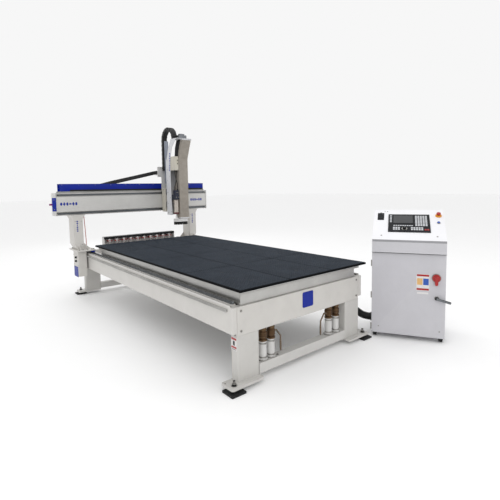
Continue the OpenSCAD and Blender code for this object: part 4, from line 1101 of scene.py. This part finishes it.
head = Shape(DESK).turned((*STOP, 22), UP, [(15, 0), (20.5, 3), (21, 8), (20, 12), (15, 15), (6, 16.2)], 40)
head.done("Stop_button_head", "estop_button", "red", 0.4)
ring = Shape(DESK).turned((*RESET, 0), UP, [(17, 0), (17, 3), (15.5, 5), (14, 5.5)], 32)
ring.done("Reset_button_ring", "bed", "steel", 0.3)
cap = Shape(DESK).turned((*RESET, 10.5), UP, [(12.8, 0), (12.2, 1.6), (8, 2.6)], 32)
cap.done("Reset_button_cap", "reset_button", "button", 0.3)
knob = Shape(DESK)
for (x0, y0, _), (x1, y1, _) in zip(circle(KNOB, 16.6, 20), circle(KNOB, 14, 20)):
    knob.tube([(x0, y0, 7.6), (x1, y1, 24)], 1.1, 6)
knob.done("Override_knob_ribs", "override_knob", "black", 0)
Shape(DESK).box((306.8, 184, 25), (309.2, 194, 26.6)).done("Override_knob_pointer", "override_knob", "key", 0.2)
TYRE = [(19, 0), (24, 1), (25, 3), (25, 15.4), (22, 16.4), (22, 18.4), (25, 19.4), (25, 31.8), (24, 33.8), (19, 34.8)]
tyres = Shape(CABINET)
for x in (34, 656):
    for y in (52, 448):
        tyres.turned((x - 17.4, y, 25), (1, 0, 0), TYRE, 32)
        tyres.turned((x - 22, y, 25), (1, 0, 0), [(6, 0), (6, 44)], 6)
        for dx in (-19, 19):
            for dy in (-19, 19):
                tyres.hex_bolt((x + dx, y + dy, 66), DOWN, 3.5, 3)
tyres.done("Caster_wheels", "bed", "black", 0.4)


# ---- Floor and light ----
floor = Shape(Matrix.Identity(4)).put([(-60, -60, 0), (60, -60, 0), (60, 60, 0), (-60, 60, 0)], [(0, 1, 2, 3)])
MAT["floor"] = finish_of("Floor_pale", (250, 250, 250), 0.7, vary=0.004, dirt=0, bump=0.0002, bump_scale=40)
floor = floor.done("Floor", None, "floor", 0)
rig.stage(floor)
world = bpy.data.worlds.new("Studio")
scene.world = world
scene.view_settings.view_transform = "Standard"
world.use_nodes = True
sky = world.node_tree.nodes["Background"]
sky.inputs["Color"].default_value = (1, 1, 1, 1)
sky.inputs["Strength"].default_value = 0.93
for name, at, aim, size, power in (
        ("Key", (-4.5, -5.5, 5.5), (0, 0, 0.8), 4.0, 90), ("Fill", (5.5, -6.0, 3.5), (0.5, -1, 0.8), 4.0, 25),
        ("Top", (0, 0.5, 6.5), (0, 0, 0), 6.0, 70), ("Back", (2.0, 7.0, 4.0), (0, 0, 0.8), 4.0, 30)):
    lamp = bpy.data.lights.new(name, "AREA")
    lamp.size, lamp.energy = size, power
    holder = bpy.data.objects.new(name, lamp)
    towards = (Vector(aim) - Vector(at)).to_track_quat("-Z", "Y").to_matrix().to_4x4()
    holder.matrix_world = Matrix.Translation(at) @ towards
    scene.collection.objects.link(holder)

with open("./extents.json", "w") as out:
    json.dump({"cad": [[float(x) for x in p] for p in cad_box],
               "visual": [[float(x) for x in p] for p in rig.bounds()]}, out)
